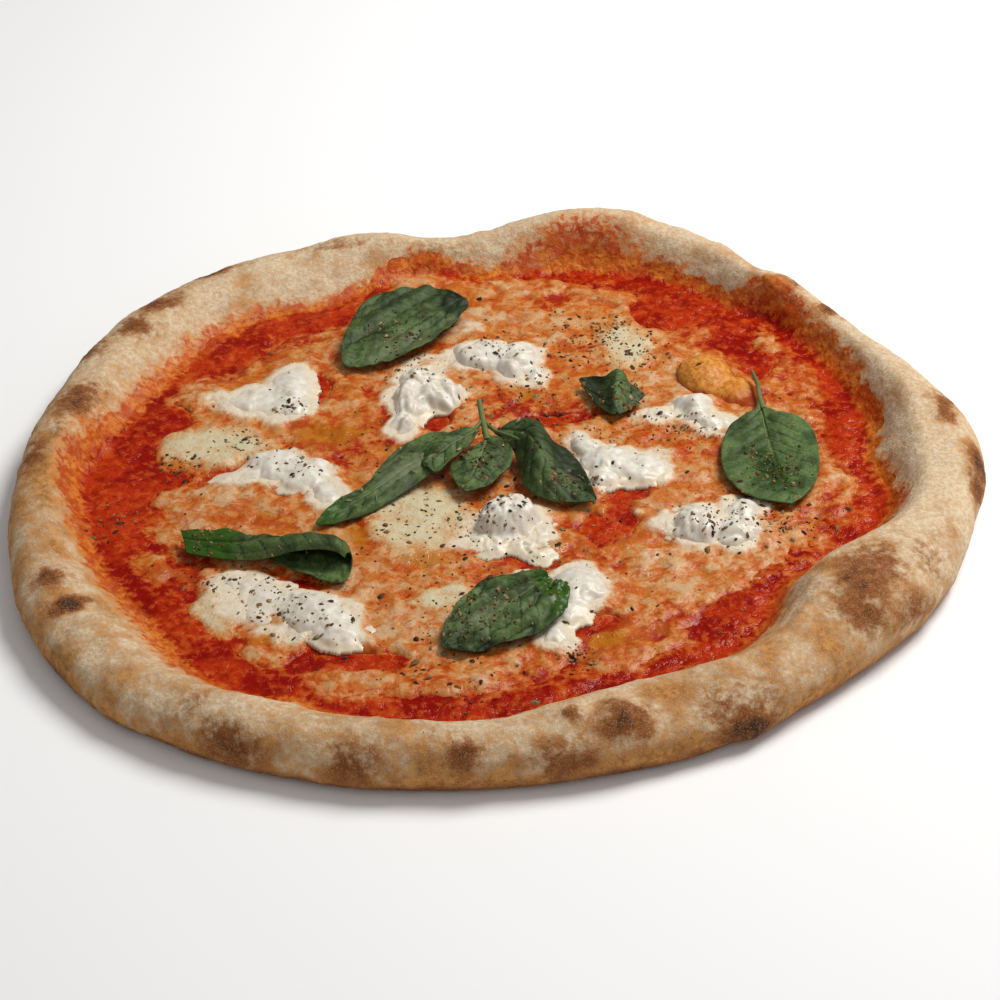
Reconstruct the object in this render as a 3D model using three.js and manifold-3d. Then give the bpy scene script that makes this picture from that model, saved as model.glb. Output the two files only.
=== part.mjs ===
// A whole margherita pizza: a baked dough base with a puffed rim, tomato sauce, melted
// mozzarella with herb flakes, clots of burrata and fresh basil. Millimetres, +Z up.
// The origin is the middle of the underside, and -Y is the front. Angles are in degrees,
// from +X towards +Y.
import * as THREE from 'three';
import { mergeVertices } from 'three/addons/utils/BufferGeometryUtils.js';
import Module from 'manifold-3d';

const wasm = await Module();
wasm.setup();

// ---------------------------------------------------------------- driving dimensions

const RIM_RADIUS = 160;        // outermost edge of the rim, before its swells
const RIM_HEIGHT = 18;         // crest of the rim above the table, before its swells
const BARE_RIM = 26;           // outer edge to the edge of the sauce, before its swells
const CREST_INSET = 12;        // outer edge to the crest, before its swells
const CONTACT_INSET = 6;       // outer edge to the line where the rim leaves the table
const FOOT_INSET = 6;          // edge of the sauce to the foot of the rim's inner slope
const BELLY_SHARE = 0.42;      // height of the widest line of the rim, share of its height
const BELLY_FULLNESS = 0.8;    // below 1 the rim's section is fuller than an ellipse
const DOUGH_THICKNESS = 3.4;   // of the flat middle
const GAP = 0.35;              // between solids that touch
const SAUCE_TOP = 4.9;         // flat sauce under the cheese
const SAUCE_THICKNESS = 1.5;   // of the bare sauce outside the cheese
const SAUCE_EDGE_THICKNESS = 0.5;
const CHEESE_BOTTOM = SAUCE_TOP + GAP;
const CHEESE_RADIUS = 115;     // outer edge of the melted cheese, before its swells
const CHEESE_THICKNESS = 1.5;
const CHEESE_EDGE_THICKNESS = 0.5;
const BURRATA_BOTTOM = CHEESE_BOTTOM + GAP + 0.1;
const LEAF_THICKNESS = 0.6;

const DOUGH_RAYS = 112;
const CHEESE_RAYS = 72;
const LUMP_RAYS = 10;

// Each swell is [centre angle, spread, amount]: a bell over the angle, added to a radius,
// a width or a height.
const OUTLINE_SWELLS = [
  [355, 11, 6],     // browned blister at the right end
  [28, 20, -9.5],   // back right flank
  [47, 5, -5],      // pinch where the rim was folded over
  [68, 14, 4.5],    // leaning puff at the back
  [94, 10, -8.5],   // dip beside it
  [138, 25, 12],    // back left shoulder
  [178, 22, 4],     // left side
  [215, 26, 11],    // front left shoulder
  [278, 16, -3],    // front
  [308, 14, -2.5],
  [331, 10, 2.5],   // front right
];
const BARE_RIM_SWELLS = [
  [357, 9, 11],
  [34, 22, -12],
  [43, 5, -3],
  [99, 8, -12],
  [118, 9, 6],
  [142, 22, 7],
  [176, 10, -7],
  [212, 12, 9],
  [241, 3, 5],
  [290, 16, 7],
  [323, 12, 17],
];
const CREST_INSET_SWELLS = [
  [356, 10, 8],
  [35, 20, -5],
  [95, 10, -5],
  [140, 20, 3],
  [212, 20, 2],
  [288, 12, 9],
  [324, 13, 15],
];
const HEIGHT_SWELLS = [
  [0, 14, 3],
  [31, 10, -2],
  [43, 4, 0.8],
  [65.5, 4, -3],
  [72, 11, 4.5],
  [95, 8, -3],
  [130, 22, -1],
  [214, 20, -2],
  [324, 16, 6],
];
const CHEESE_SWELLS = [
  [30, 10, 7],
  [46, 8, -5],
  [66, 12, 9],
  [105, 12, 14],
  [156, 30, 6],
  [290, 25, -8],
];

// Blisters fused to the rim: centre, then half sizes along X, Y and Z
const BLISTERS = [
  { at: [35, -143, 11.5], size: [12, 10, 8] },
  { at: [70.5, -131.5, 5.5], size: [9, 8, 4.5] },
  { at: [155, -15, 9], size: [10, 14, 8.5] },
  { at: [100, 106.5, 12], size: [8, 7, 7.5] },
];

// The golden bubble of dough that pushes up through the sauce and the cheese
const BUBBLE = { at: [76, 52, 3], size: [11, 13, 9.5] };
const BUBBLE_TAIL = { at: [86, 41, 3], size: [9, 10, 6] };

// Smooth pools of thicker cheese and thin places where the sauce shows through:
// centre, half sizes, turn of the long side, and the height added.
const CHEESE_POOLS = [
  { at: [-100, 23], size: [18, 11], turn: -10, rise: 1.0 },
  { at: [-27, -26], size: [17, 18], turn: 0, rise: 1.2 },
  { at: [-92, -71], size: [10, 11], turn: 0, rise: 1.0 },
  { at: [50, 74], size: [10, 14], turn: 0, rise: 0.8 },
  { at: [-20, -70], size: [10, 7], turn: 0, rise: 0.5 },
  { at: [33, -36], size: [7, 10], turn: 20, rise: -1.1 },
  { at: [43, -17], size: [8, 5], turn: 0, rise: -1.0 },
  { at: [8, -50], size: [9, 6], turn: -20, rise: -1.0 },
  { at: [-93, 9], size: [13, 4], turn: 30, rise: -1.0 },
  { at: [-22, 34], size: [7, 5], turn: 60, rise: -0.9 },
  { at: [20, 29], size: [14, 3], turn: 10, rise: -0.8 },
  { at: [65, 95], size: [10, 8], turn: 0, rise: -1.0 },
  { at: [-67, -56], size: [9, 4], turn: 0, rise: -0.8 },
];

// Burrata clots. A clot is a few lumps fused together, each [x, y, half length, half width,
// turn, height above the cheese].
const BURRATA = {
  burrata_left_back: [
    [-73, 57, 8, 14, 0, 3.8],
    [-86, 51, 11, 9, 20, 2.6],
    [-74, 45, 9, 8, 0, 3.2],
  ],
  burrata_middle_back: [
    [-20, 47, 9, 9, 0, 5.5],
    [-30, 46, 8, 12, 0, 5.5],
    [-33, 31, 5, 8, -10, 4],
    [-27, 58, 9, 8, 0, 3.5],
  ],
  burrata_back: [
    [-2, 72, 13, 9, -10, 4.5],
    [9, 67, 8, 12, -15, 5.5],
    [15, 57, 4, 6, 0, 3],
  ],
  burrata_right_back: [
    [70, 30, 7, 8, 0, 5.5],
    [77, 20, 7, 6, 0, 3],
    [60, 29, 8, 3.5, 10, 2],
  ],
  burrata_middle_right: [
    [38, 0, 10, 9, 30, 4.5],
    [48, -4, 10, 9, 0, 2.5],
    [31, 10, 5, 8, 25, 5],
    [35, -9, 5, 5, 0, 3.5],
  ],
  burrata_right: [
    [65, -38, 9, 10, 0, 6],
    [77, -43, 7.5, 9, -20, 4.5],
    [80.5, -31, 7, 7, 10, 3.2],
  ],
  burrata_centre: [
    [2.5, -31, 12, 9.5, 10, 9],
  ],
  burrata_front: [
    [24, -68, 9, 11, 15, 4.5],
    [20, -80, 7, 7, 0, 3],
    [14.5, -90.5, 5, 8, 15, 3],
  ],
  burrata_left: [
    [-76, 8, 11, 9, -30, 3.2],
    [-66, 2, 9, 9, -40, 3.5],
    [-59, -9, 5, 8, 10, 3],
  ],
  burrata_left_front: [
    [-60, -76, 15, 9.5, -42, 4.8],
    [-53, -86, 8, 6, -25, 3.8],
  ],
};

// Basil blades. The midrib runs from the base to the tip. The outlines of the left and right
// sides are places along the midrib, from 0 to 1, and distances from it. Lifts raise the two
// edges. Left and right are as seen from above, looking from the base to the tip.
const BASIL_BLADES = {
  basil_back_leaf: [
    {
      midrib: [[-9.5, 104.5, 12.5], [-24, 92, 12], [-40, 78, 10.5], [-54, 67, 8.7]],
      left: [[0, 0], [0.06, 5], [0.22, 9], [0.38, 12.5], [0.6, 12.8], [0.78, 9], [0.9, 4.5], [1, 0]],
      right: [[0, 0], [0.08, 9], [0.19, 17], [0.32, 22], [0.45, 23.5], [0.62, 20], [0.82, 11.5], [0.95, 4], [1, 0]],
      lifts: [0, 2.5],
    },
  ],
  basil_right_leaf: [
    {
      midrib: [[93.4, 29, 10], [93.5, 9, 9.3], [95, -14, 9], [97, -32.5, 9.4]],
      left: [[0, 0.7], [0.11, 1.4], [0.17, 5], [0.23, 12], [0.38, 16], [0.62, 14.5], [0.83, 9], [1, 0]],
      right: [[0, 0.7], [0.11, 2], [0.17, 7], [0.27, 13], [0.48, 17.6], [0.68, 18], [0.86, 12.5], [1, 0]],
      lifts: [1.2, 0.6],
    },
  ],
  basil_sprig: [
    {
      midrib: [[-12, 10, 13], [-28, -1, 12.5], [-47, -18, 10], [-62, -29, 8.8]],
      left: [[0, 0], [0.25, 5], [0.38, 8], [0.7, 6.2], [0.86, 4], [1, 0]],
      right: [[0, 0], [0.1, 6.8], [0.25, 8.8], [0.4, 8], [0.6, 3.5], [0.78, 4.2], [1, 0]],
      lifts: [-1.5, 1.5],
    },
    {
      midrib: [[-6, 14, 14], [-16, 4, 15], [-25, -5, 13]],
      left: [[0, 0], [0.45, 6], [0.75, 6], [1, 6], [1.02, 0]],
      right: [[0, 0], [0.2, 5.5], [0.6, 7.6], [0.88, 4], [1, 0]],
      lifts: [0.5, -1],
    },
    {
      midrib: [[-3, 11, 13.5], [-6, -2, 13.5], [-11.5, -18.5, 11.5]],
      left: [[0, 0], [0, 5.5], [0.2, 9], [0.5, 11], [0.68, 9], [0.84, 6], [1, 0]],
      right: [[0, 0], [0.4, 3.5], [0.62, 9], [0.8, 6], [1, 0]],
      lifts: [-1, -0.5],
    },
  ],
  basil_front_leaf: [
    {
      midrib: [[12.5, -72, 13.3], [2, -80.5, 12], [-10, -90, 10], [-20.5, -97.5, 8.8]],
      left: [[-0.06, 0], [-0.1, 8], [0.12, 15], [0.35, 16], [0.57, 12.5], [0.76, 9], [0.88, 5], [1, 0]],
      right: [[-0.06, 0], [-0.06, 3], [0.12, 8.5], [0.3, 13.5], [0.5, 13.5], [0.74, 9.5], [0.87, 5], [1, 0]],
      lifts: [-1, 1],
    },
  ],
};

// Folded leaves, as sections across them. A section runs from one edge over the folds to the
// other edge.
const FOLDED_LEAVES = {
  basil_sprig: [
    [[-1, 13, 13], [0, 13.5, 13.3], [1, 14, 13.6], [2, 14.5, 13.8]],
    [[5.5, 3.5, 11.5], [6.5, 8, 14.5], [7.5, 11.5, 16], [8.5, 15, 16.5]],
    [[7.5, -7.5, 10], [10, 0, 16], [12.5, 6.5, 19], [14.5, 11, 18]],
    [[9, -16, 9.5], [12.5, -8, 16], [16, -0.5, 17.5], [19.5, 5.5, 13]],
    [[14.5, -22, 9.3], [17, -15, 14.5], [20.5, -6, 12.5], [25.5, 1, 10.8]],
    [[22, -25, 9.2], [24, -20, 10.8], [26.5, -15, 9.6], [29.5, -10, 10.5]],
    [[31.5, -25.5, 9.4], [32, -25, 9.5], [32.3, -24.5, 9.6], [32.5, -24, 9.7]],
  ],
  basil_curled_leaf: [
    [[30.5, 49, 9.5], [31, 47.5, 9.3], [31.5, 46, 9], [32, 45, 8.8]],
    [[35.5, 49, 10.5], [35.5, 44, 8.8], [35, 40, 8.5], [34.5, 36.5, 9.5]],
    [[40, 47, 11.5], [40.5, 41.5, 9.5], [40, 33.5, 9], [39, 28.5, 8.7]],
    [[44.5, 46.5, 14.5], [43.5, 41, 15], [42.5, 33, 13], [42.5, 26.5, 8.7]],
    [[48.5, 42.5, 11], [48, 38.5, 12], [47.5, 34, 11], [47, 29, 8.6]],
    [[53.5, 36.5, 9.5], [53, 36, 9.5], [52.5, 35.5, 9.3], [52, 35, 9]],
  ],
  // the lip, the top of the roll, its back, its floor and the flap in front
  basil_rolled_leaf: [
    [[-104.5, -41, 8.5], [-105, -38.5, 9], [-105.5, -36, 9.5], [-106, -34, 9.8], [-106.5, -32, 10], [-107, -30.5, 10]],
    [[-96, -44.5, 8.4], [-96, -42, 9.7], [-96, -40, 10.4], [-96, -37.5, 11], [-96, -35, 11], [-96, -33, 11]],
    [[-86, -47.2, 8.8], [-86, -45.5, 10.5], [-86, -43, 11.5], [-86, -40.5, 12.2], [-86, -38, 12.2], [-86, -36, 11.8]],
    [[-77, -50, 11.2], [-77, -48, 13.3], [-77, -45, 14.3], [-77, -41, 13.2], [-77, -41.5, 9.8], [-77, -46, 8.3]],
    [[-68, -50.5, 13.8], [-68, -48.5, 16], [-68, -44.5, 15.5], [-68, -42.5, 11], [-68, -46, 8.2], [-68, -53, 8.2]],
    [[-60, -51, 14.5], [-60, -49, 16.8], [-60, -45, 16], [-60, -43, 11.5], [-60, -48, 8.2], [-61, -58, 8.3]],
    [[-54.5, -52, 14], [-54, -50, 15.8], [-53, -46.5, 14.5], [-52, -46, 10.5], [-53, -52, 8.3], [-55, -61, 8.4]],
    [[-51.5, -53, 12], [-50.8, -52, 13], [-49.8, -51, 12.3], [-49.3, -51.5, 10], [-49.6, -55, 8.8], [-50.8, -60.5, 8.6]],
  ],
};

// Basil stems: points along the middle, and the radius
const STEMS = {
  basil_right_leaf: [
    { points: [[94, 23, 10], [93.5, 31, 10], [93.7, 39, 10.3], [92.5, 46, 11]], radius: 0.9 },
  ],
  basil_sprig: [
    { points: [[-3.2, 8, 13.2], [-4.3, 17, 14.3], [-5, 23, 15.5], [-5.5, 28, 16.5]], radius: 1.1 },
    { points: [[-4.5, 19, 14.5], [-7.5, 14, 14], [-11, 12, 13.5], [-14, 10, 13]], radius: 0.8 },
    { points: [[-4.2, 18, 14.5], [0, 12, 14], [5, 8, 14.5], [10, 3, 15]], radius: 0.8 },
  ],
};

// Herb flakes on the cheese, in loose clusters: centre, spread and count
const FLAKE_SEED = 11;
const FLAKE_LENGTH = 2.8;
const FLAKE_CLUSTERS = [
  [44, 78, 13, 9],
  [15, 42, 9, 5],
  [62, 10, 11, 5],
  [95, -46, 9, 6],
  [20, -103, 10, 6],
  [-15, -104, 14, 6],
  [-90, 36, 10, 5],
  [-108, 8, 9, 4],
  [-96, -44, 9, 4],
  [50, -62, 18, 4],
  [-40, -84, 9, 3],
  [-30, -4, 10, 3],
];

// ------------------------------------------------------------------------- helpers

const radians = THREE.MathUtils.degToRad;
const bell = (distance, spread) => Math.exp(-((distance / spread) ** 2));
const turnBetween = (a, b) => ((a - b + 540) % 360) - 180;
const angleOf = (x, y) => (THREE.MathUtils.radToDeg(Math.atan2(y, x)) + 360) % 360;

function swell(swells, angle) {
  return swells.reduce(
    (sum, [centre, spread, amount]) => sum + amount * bell(turnBetween(angle, centre), spread),
    0,
  );
}

// A repeatable random number source, 0 to 1
function randomSource(seed) {
  let state = seed;
  return () => {
    state = (state + 0x6d2b79f5) | 0;
    let mixed = Math.imul(state ^ (state >>> 15), 1 | state);
    mixed = (mixed + Math.imul(mixed ^ (mixed >>> 7), 61 | mixed)) ^ mixed;
    return ((mixed ^ (mixed >>> 14)) >>> 0) / 4294967296;
  };
}

function geometryOf(points, triangles) {
  const geometry = new THREE.BufferGeometry();
  geometry.setAttribute('position', new THREE.Float32BufferAttribute(points.flat(), 3));
  geometry.setIndex(triangles.flat());
  return geometry;
}

// Closes rings of points that run anticlockwise, from a first centre point under them to a
// last centre point over them.
function solidOfRings(firstCentre, rings, lastCentre) {
  const rays = rings[0].length;
  const points = [firstCentre, ...rings.flat(), lastCentre];
  const at = (ring, ray) => 1 + ring * rays + (ray % rays);
  const last = points.length - 1;
  const triangles = [];
  for (let ray = 0; ray < rays; ray++) {
    triangles.push([0, at(0, ray + 1), at(0, ray)]);
    for (let ring = 0; ring < rings.length - 1; ring++) {
      triangles.push([at(ring, ray), at(ring, ray + 1), at(ring + 1, ray + 1)]);
      triangles.push([at(ring, ray), at(ring + 1, ray + 1), at(ring + 1, ray)]);
    }
    triangles.push([last, at(rings.length - 1, ray), at(rings.length - 1, ray + 1)]);
  }
  return geometryOf(points, triangles);
}

function toManifold(geometry) {
  const bare = geometry.clone();
  bare.deleteAttribute('normal');
  bare.deleteAttribute('uv');
  const merged = mergeVertices(bare, 1e-4);
  return new wasm.Manifold(new wasm.Mesh({
    numProp: 3,
    vertProperties: new Float32Array(merged.attributes.position.array),
    triVerts: new Uint32Array(merged.index.array),
  }));
}

function toGeometry(manifold) {
  const mesh = manifold.getMesh();
  const geometry = new THREE.BufferGeometry();
  geometry.setAttribute('position', new THREE.BufferAttribute(mesh.vertProperties, 3));
  geometry.setIndex(new THREE.BufferAttribute(mesh.triVerts, 1));
  geometry.computeVertexNormals();
  return geometry;
}

function ellipsoid({ at, size }, grow = 0, columns = 12, rows = 7) {
  const ball = new THREE.SphereGeometry(1, columns, rows);
  ball.rotateX(Math.PI / 2);
  ball.scale(size[0] + grow, size[1] + grow, size[2] + grow);
  ball.translate(...at);
  return toManifold(ball);
}

// How far a place is from the middle of a turned ellipse: 0 at the middle and 1 at its edge
function ellipseShare(x, y, { at, size, turn }) {
  const cos = Math.cos(radians(turn));
  const sin = Math.sin(radians(turn));
  const along = (x - at[0]) * cos + (y - at[1]) * sin;
  const across = (y - at[1]) * cos - (x - at[0]) * sin;
  return Math.hypot(along / size[0], across / size[1]);
}

// ---------------------------------------------------------------------- dough base

const outerRadius = (angle) => RIM_RADIUS + swell(OUTLINE_SWELLS, angle);
const sauceRadius = (angle) => outerRadius(angle) - BARE_RIM - swell(BARE_RIM_SWELLS, angle);
const footRadius = (angle) => sauceRadius(angle) - FOOT_INSET;
const crestRadius = (angle) => outerRadius(angle) - CREST_INSET - swell(CREST_INSET_SWELLS, angle);

// Small uneven swellings along the crest
function crestHeight(angle) {
  const lumps = 0.5 * Math.sin(radians(11 * angle)) + 0.4 * Math.sin(radians(17 * angle + 60));
  return RIM_HEIGHT + swell(HEIGHT_SWELLS, angle) + lumps;
}

// The rim's section on one ray, as [radius, height]: from the table round the belly to the
// crest, then down the inner slope to its foot.
function rimSection(angle) {
  const outer = outerRadius(angle);
  const crest = crestRadius(angle);
  const foot = footRadius(angle);
  const height = crestHeight(angle);
  const belly = BELLY_SHARE * height;
  const section = [];
  for (const turn of [-90, -50, -15, 15, 40, 65, 90]) {
    const reach = Math.max(Math.cos(radians(turn)), 0) ** BELLY_FULLNESS;
    const rise = Math.sin(radians(turn));
    const inset = turn < 0 ? CONTACT_INSET : outer - crest;
    section.push([outer - inset * (1 - reach), belly + rise * (turn < 0 ? belly : height - belly)]);
  }
  for (const share of [0.25, 0.5, 0.75, 1]) {
    const fall = 0.5 + 0.5 * Math.cos(Math.PI * share);
    section.push([
      THREE.MathUtils.lerp(crest, foot, share),
      DOUGH_THICKNESS + (height - DOUGH_THICKNESS) * fall,
    ]);
  }
  return section;
}

// Height of the dough's faceted top on one ray, inside the crest
function doughHeight(section, radius) {
  const slope = section.slice(6);
  for (let i = 0; i < slope.length - 1; i++) {
    const [outside, high] = slope[i];
    const [inside, low] = slope[i + 1];
    if (radius > inside) {
      return THREE.MathUtils.mapLinear(Math.min(radius, outside), inside, outside, low, high);
    }
  }
  return DOUGH_THICKNESS;
}

const onRay = (angle, radius, height) => [
  radius * Math.cos(radians(angle)),
  radius * Math.sin(radians(angle)),
  height,
];

const raysOf = (count) => Array.from({ length: count }, (_, i) => (360 * i) / count);

function doughBase() {
  const angles = raysOf(DOUGH_RAYS);
  const sections = angles.map(rimSection);
  const rings = sections[0].map((_, i) => angles.map((angle, ray) => onRay(angle, ...sections[ray][i])));
  let dough = toManifold(solidOfRings([0, 0, 0], rings, [0, 0, DOUGH_THICKNESS]));
  for (const blister of BLISTERS) dough = dough.add(ellipsoid(blister));
  for (const part of [BUBBLE, BUBBLE_TAIL]) dough = dough.add(bubblePart(part, 0));
  return dough;
}

// The bubble's parts stop inside the dough's thickness, so that the underside stays flat
function bubblePart(part, grow) {
  return ellipsoid(part, grow).trimByPlane([0, 0, 1], 1.5);
}

const bubbleClearance = () => bubblePart(BUBBLE, GAP).add(bubblePart(BUBBLE_TAIL, GAP));

// -------------------------------------------------------------------- tomato sauce

const cheeseRadius = (angle) => CHEESE_RADIUS + swell(CHEESE_SWELLS, angle);
// where the bare sauce begins, outside the cheese
const bareSauceRadius = (angle) => Math.min(cheeseRadius(angle) + 2, sauceRadius(angle) - 4);

function tomatoSauce() {
  const angles = raysOf(DOUGH_RAYS);
  const sections = angles.map(rimSection);
  const shares = [0, 0.35, 0.7, 1];
  const ring = (share, heightOf) => angles.map((angle, ray) => {
    const radius = THREE.MathUtils.lerp(bareSauceRadius(angle), sauceRadius(angle), share);
    return onRay(angle, radius, heightOf(angle, doughHeight(sections[ray], radius)));
  });
  const under = (angle, dough) => dough + GAP;
  const over = (share) => (angle, dough) => {
    const mound = Math.sin(Math.PI * share) * (1 + 0.6 * Math.sin(radians(13 * angle)));
    const edge = share === 1 ? SAUCE_EDGE_THICKNESS : SAUCE_THICKNESS;
    return share === 0 ? SAUCE_TOP : dough + GAP + edge + Math.max(mound, 0);
  };
  const bottom = shares.map((share) => ring(share, under));
  const top = shares.map((share) => ring(share, over(share))).reverse();
  const sauce = solidOfRings(
    [0, 0, DOUGH_THICKNESS + GAP],
    [...bottom, ...top],
    [0, 0, SAUCE_TOP],
  );
  return toManifold(sauce).subtract(bubbleClearance());
}

// --------------------------------------------------------------- melted mozzarella

// Top of the cheese: soft lumps, pools and thin places, thinning out to its edge
function cheeseTop(x, y) {
  const share = Math.hypot(x, y) / cheeseRadius(angleOf(x, y));
  const lumps = 0.3 * Math.sin(x / 5.5 + 1) * Math.sin(y / 6.5) + 0.2 * Math.sin((x + y) / 4);
  const pools = CHEESE_POOLS.reduce(
    (sum, pool) => sum + pool.rise * bell(ellipseShare(x, y, pool), 0.9),
    0,
  );
  const body = CHEESE_THICKNESS + lumps + pools;
  const fade = THREE.MathUtils.smoothstep(1 - share, 0, 0.15);
  return CHEESE_BOTTOM + Math.max(CHEESE_EDGE_THICKNESS, body * fade);
}

function cheeseSheet() {
  const angles = raysOf(CHEESE_RAYS);
  const ragged = (angle) => 2.5 * Math.sin(radians(9 * angle)) + 2 * Math.sin(radians(23 * angle));
  const ring = (share, heightOf) => angles.map((angle) => {
    const radius = (cheeseRadius(angle) - 5 + ragged(angle)) * share;
    const [x, y] = onRay(angle, radius, 0);
    return [x, y, heightOf(x, y)];
  });
  const topRings = [1, 0.92, 0.82, 0.71, 0.6, 0.48, 0.36, 0.23, 0.1].map((share) => ring(share, cheeseTop));
  const bottomRing = ring(1, () => CHEESE_BOTTOM);
  const sheet = solidOfRings([0, 0, CHEESE_BOTTOM], [bottomRing, ...topRings], [0, 0, cheeseTop(0, 0)]);
  return toManifold(sheet).subtract(bubbleClearance());
}

// A herb flake: a flat eight-sided chip with a pointed outline, half sunk in the cheese
function flake(x, y, random) {
  const chip = new THREE.OctahedronGeometry(1);
  const length = FLAKE_LENGTH * (0.7 + 0.5 * random());
  chip.scale(length / 2, length * (0.25 + 0.12 * random()), 0.9);
  chip.rotateZ(2 * Math.PI * random());
  chip.translate(x, y, cheeseTop(x, y));
  return toManifold(chip);
}

// Flakes keep clear of every clot, leaf and bubble, and of each other
function flakes(keepClear) {
  const random = randomSource(FLAKE_SEED);
  const places = [];
  for (const [x, y, spread, count] of FLAKE_CLUSTERS) {
    let placed = 0;
    for (let attempt = 0; attempt < 400 && placed < count; attempt++) {
      const angle = 360 * random();
      const [dx, dy] = onRay(angle, spread * Math.sqrt(random()) * 1.3, 0);
      const place = [x + dx, y + dy];
      const reach = Math.hypot(...place) / cheeseRadius(angleOf(...place));
      const crowded = places.some(([px, py]) => Math.hypot(px - place[0], py - place[1]) < 5);
      if (reach > 0.9 || crowded || keepClear(...place)) continue;
      places.push(place);
      placed += 1;
    }
  }
  return places.map(([px, py]) => flake(px, py, random));
}

// -------------------------------------------------------------------------- burrata

// One low uneven dome of a clot
function burrataLump([x, y, length, width, turn, height], random) {
  const phases = [random(), random(), random()].map((value) => 2 * Math.PI * value);
  const wobble = (angle) => 1
    + 0.09 * Math.sin(3 * radians(angle) + phases[0])
    + 0.06 * Math.sin(5 * radians(angle) + phases[1]);
  const top = CHEESE_BOTTOM + CHEESE_THICKNESS + height;
  const ring = (share, height) => raysOf(LUMP_RAYS).map((angle) => {
    const [along, across] = [length * share * wobble(angle), width * share * wobble(angle)];
    const dent = 0.06 * (top - height) * Math.sin(4 * radians(angle) + phases[2]);
    const [dx, dy] = [along * Math.cos(radians(angle)), across * Math.sin(radians(angle))];
    const [cos, sin] = [Math.cos(radians(turn)), Math.sin(radians(turn))];
    return [x + dx * cos - dy * sin, y + dx * sin + dy * cos, height + (share < 1 ? dent : 0)];
  });
  const rise = (share) => BURRATA_BOTTOM + (top - BURRATA_BOTTOM) * share;
  const rings = [
    ring(1, BURRATA_BOTTOM),
    ring(0.95, rise(0.5)),
    ring(0.6, rise(0.9)),
  ];
  return toManifold(solidOfRings([x, y, BURRATA_BOTTOM], rings, [x, y, top]));
}

// The lumps are fused, and the clot is cut to the top of the cheese that it lies on
function burrataClot(lumps, seed, liftedCheese) {
  const random = randomSource(seed);
  const clot = lumps
    .map((lump) => burrataLump(lump, random))
    .reduce((sum, lump) => sum.add(lump));
  return clot.subtract(liftedCheese);
}

// ---------------------------------------------------------------------------- basil

const BLADE_STEPS = 9;
const BLADE_COLUMNS = [-1, -0.5, 0, 0.5, 1];
const FOLD_STEPS = 9;
const FOLD_COLUMNS = 7;
const LEAST_HALF_WIDTH = 0.5;

// A smooth curve through points, at a share from 0 to 1 of the way along their list
function curvePoint(points, share) {
  const place = share * (points.length - 1);
  const start = Math.min(Math.floor(place), points.length - 2);
  const t = place - start;
  const [before, a] = [points[Math.max(start - 1, 0)], points[start]];
  const [b, after] = [points[start + 1], points[Math.min(start + 2, points.length - 1)]];
  return a.map((value, axis) => {
    const [p, q, r] = [before[axis], b[axis], after[axis]];
    return value
      + 0.5 * (q - p) * t
      + 0.5 * (2 * p - 5 * value + 4 * q - r) * t ** 2
      + 0.5 * (3 * value - p - 3 * q + r) * t ** 3;
  });
}

// Middle surface of a blade, as rows of points from its base to its tip
function bladeSurface({ midrib, left, right, lifts }) {
  const start = new THREE.Vector3(...midrib[0]);
  const end = new THREE.Vector3(...midrib[midrib.length - 1]);
  const length = start.distanceTo(end);
  const onwards = end.clone().sub(start).setZ(0).normalize();
  const side = new THREE.Vector3(-onwards.y, onwards.x, 0);
  const point = (step, column) => {
    const [edge, halfWidth] = curvePoint(column > 0 ? left : right, step);
    const share = Math.abs(column);
    const place = THREE.MathUtils.lerp(step, edge, share ** 1.3);
    const inside = THREE.MathUtils.clamp(place, 0, 1);
    const middle = new THREE.Vector3(...curvePoint(midrib, inside));
    middle.addScaledVector(onwards, (place - inside) * length);
    middle.addScaledVector(side, Math.max(halfWidth, LEAST_HALF_WIDTH) * column);
    const lift = (column > 0 ? lifts[0] : lifts[1]) * share ** 2 * Math.sin(Math.PI * step) ** 0.7;
    const ripple = 0.5 * share * Math.sin(9 * step + 2 * column);
    middle.z += lift + ripple;
    return middle;
  };
  const steps = Array.from({ length: BLADE_STEPS + 1 }, (_, i) => i / BLADE_STEPS);
  return steps.map((step) => BLADE_COLUMNS.map((column) => point(step, column)));
}

// Middle surface of a folded leaf, as rows of points
function foldedSurface(sections) {
  const shares = (count) => Array.from({ length: count + 1 }, (_, i) => i / count);
  return shares(FOLD_STEPS).map((step) => {
    const places = sections[0].map((_, i) => curvePoint(sections.map((section) => section[i]), step));
    return shares(FOLD_COLUMNS - 1).map((column) => new THREE.Vector3(...curvePoint(places, column)));
  });
}

// A thin solid about a middle surface. Both faces are split into triangles alike.
function leafSolid(rows) {
  const columns = rows[0].length;
  const clamped = (row, column) => rows[THREE.MathUtils.clamp(row, 0, rows.length - 1)][
    THREE.MathUtils.clamp(column, 0, columns - 1)];
  const faces = { top: [], bottom: [] };
  rows.forEach((points, row) => points.forEach((point, column) => {
    const onwards = clamped(row + 1, column).clone().sub(clamped(row - 1, column));
    const across = clamped(row, column + 1).clone().sub(clamped(row, column - 1));
    const normal = onwards.cross(across).normalize();
    faces.top.push(point.clone().addScaledVector(normal, LEAF_THICKNESS / 2).toArray());
    faces.bottom.push(point.clone().addScaledVector(normal, -LEAF_THICKNESS / 2).toArray());
  }));
  return toManifold(sheetSolid(faces.top, faces.bottom, columns));
}

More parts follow.
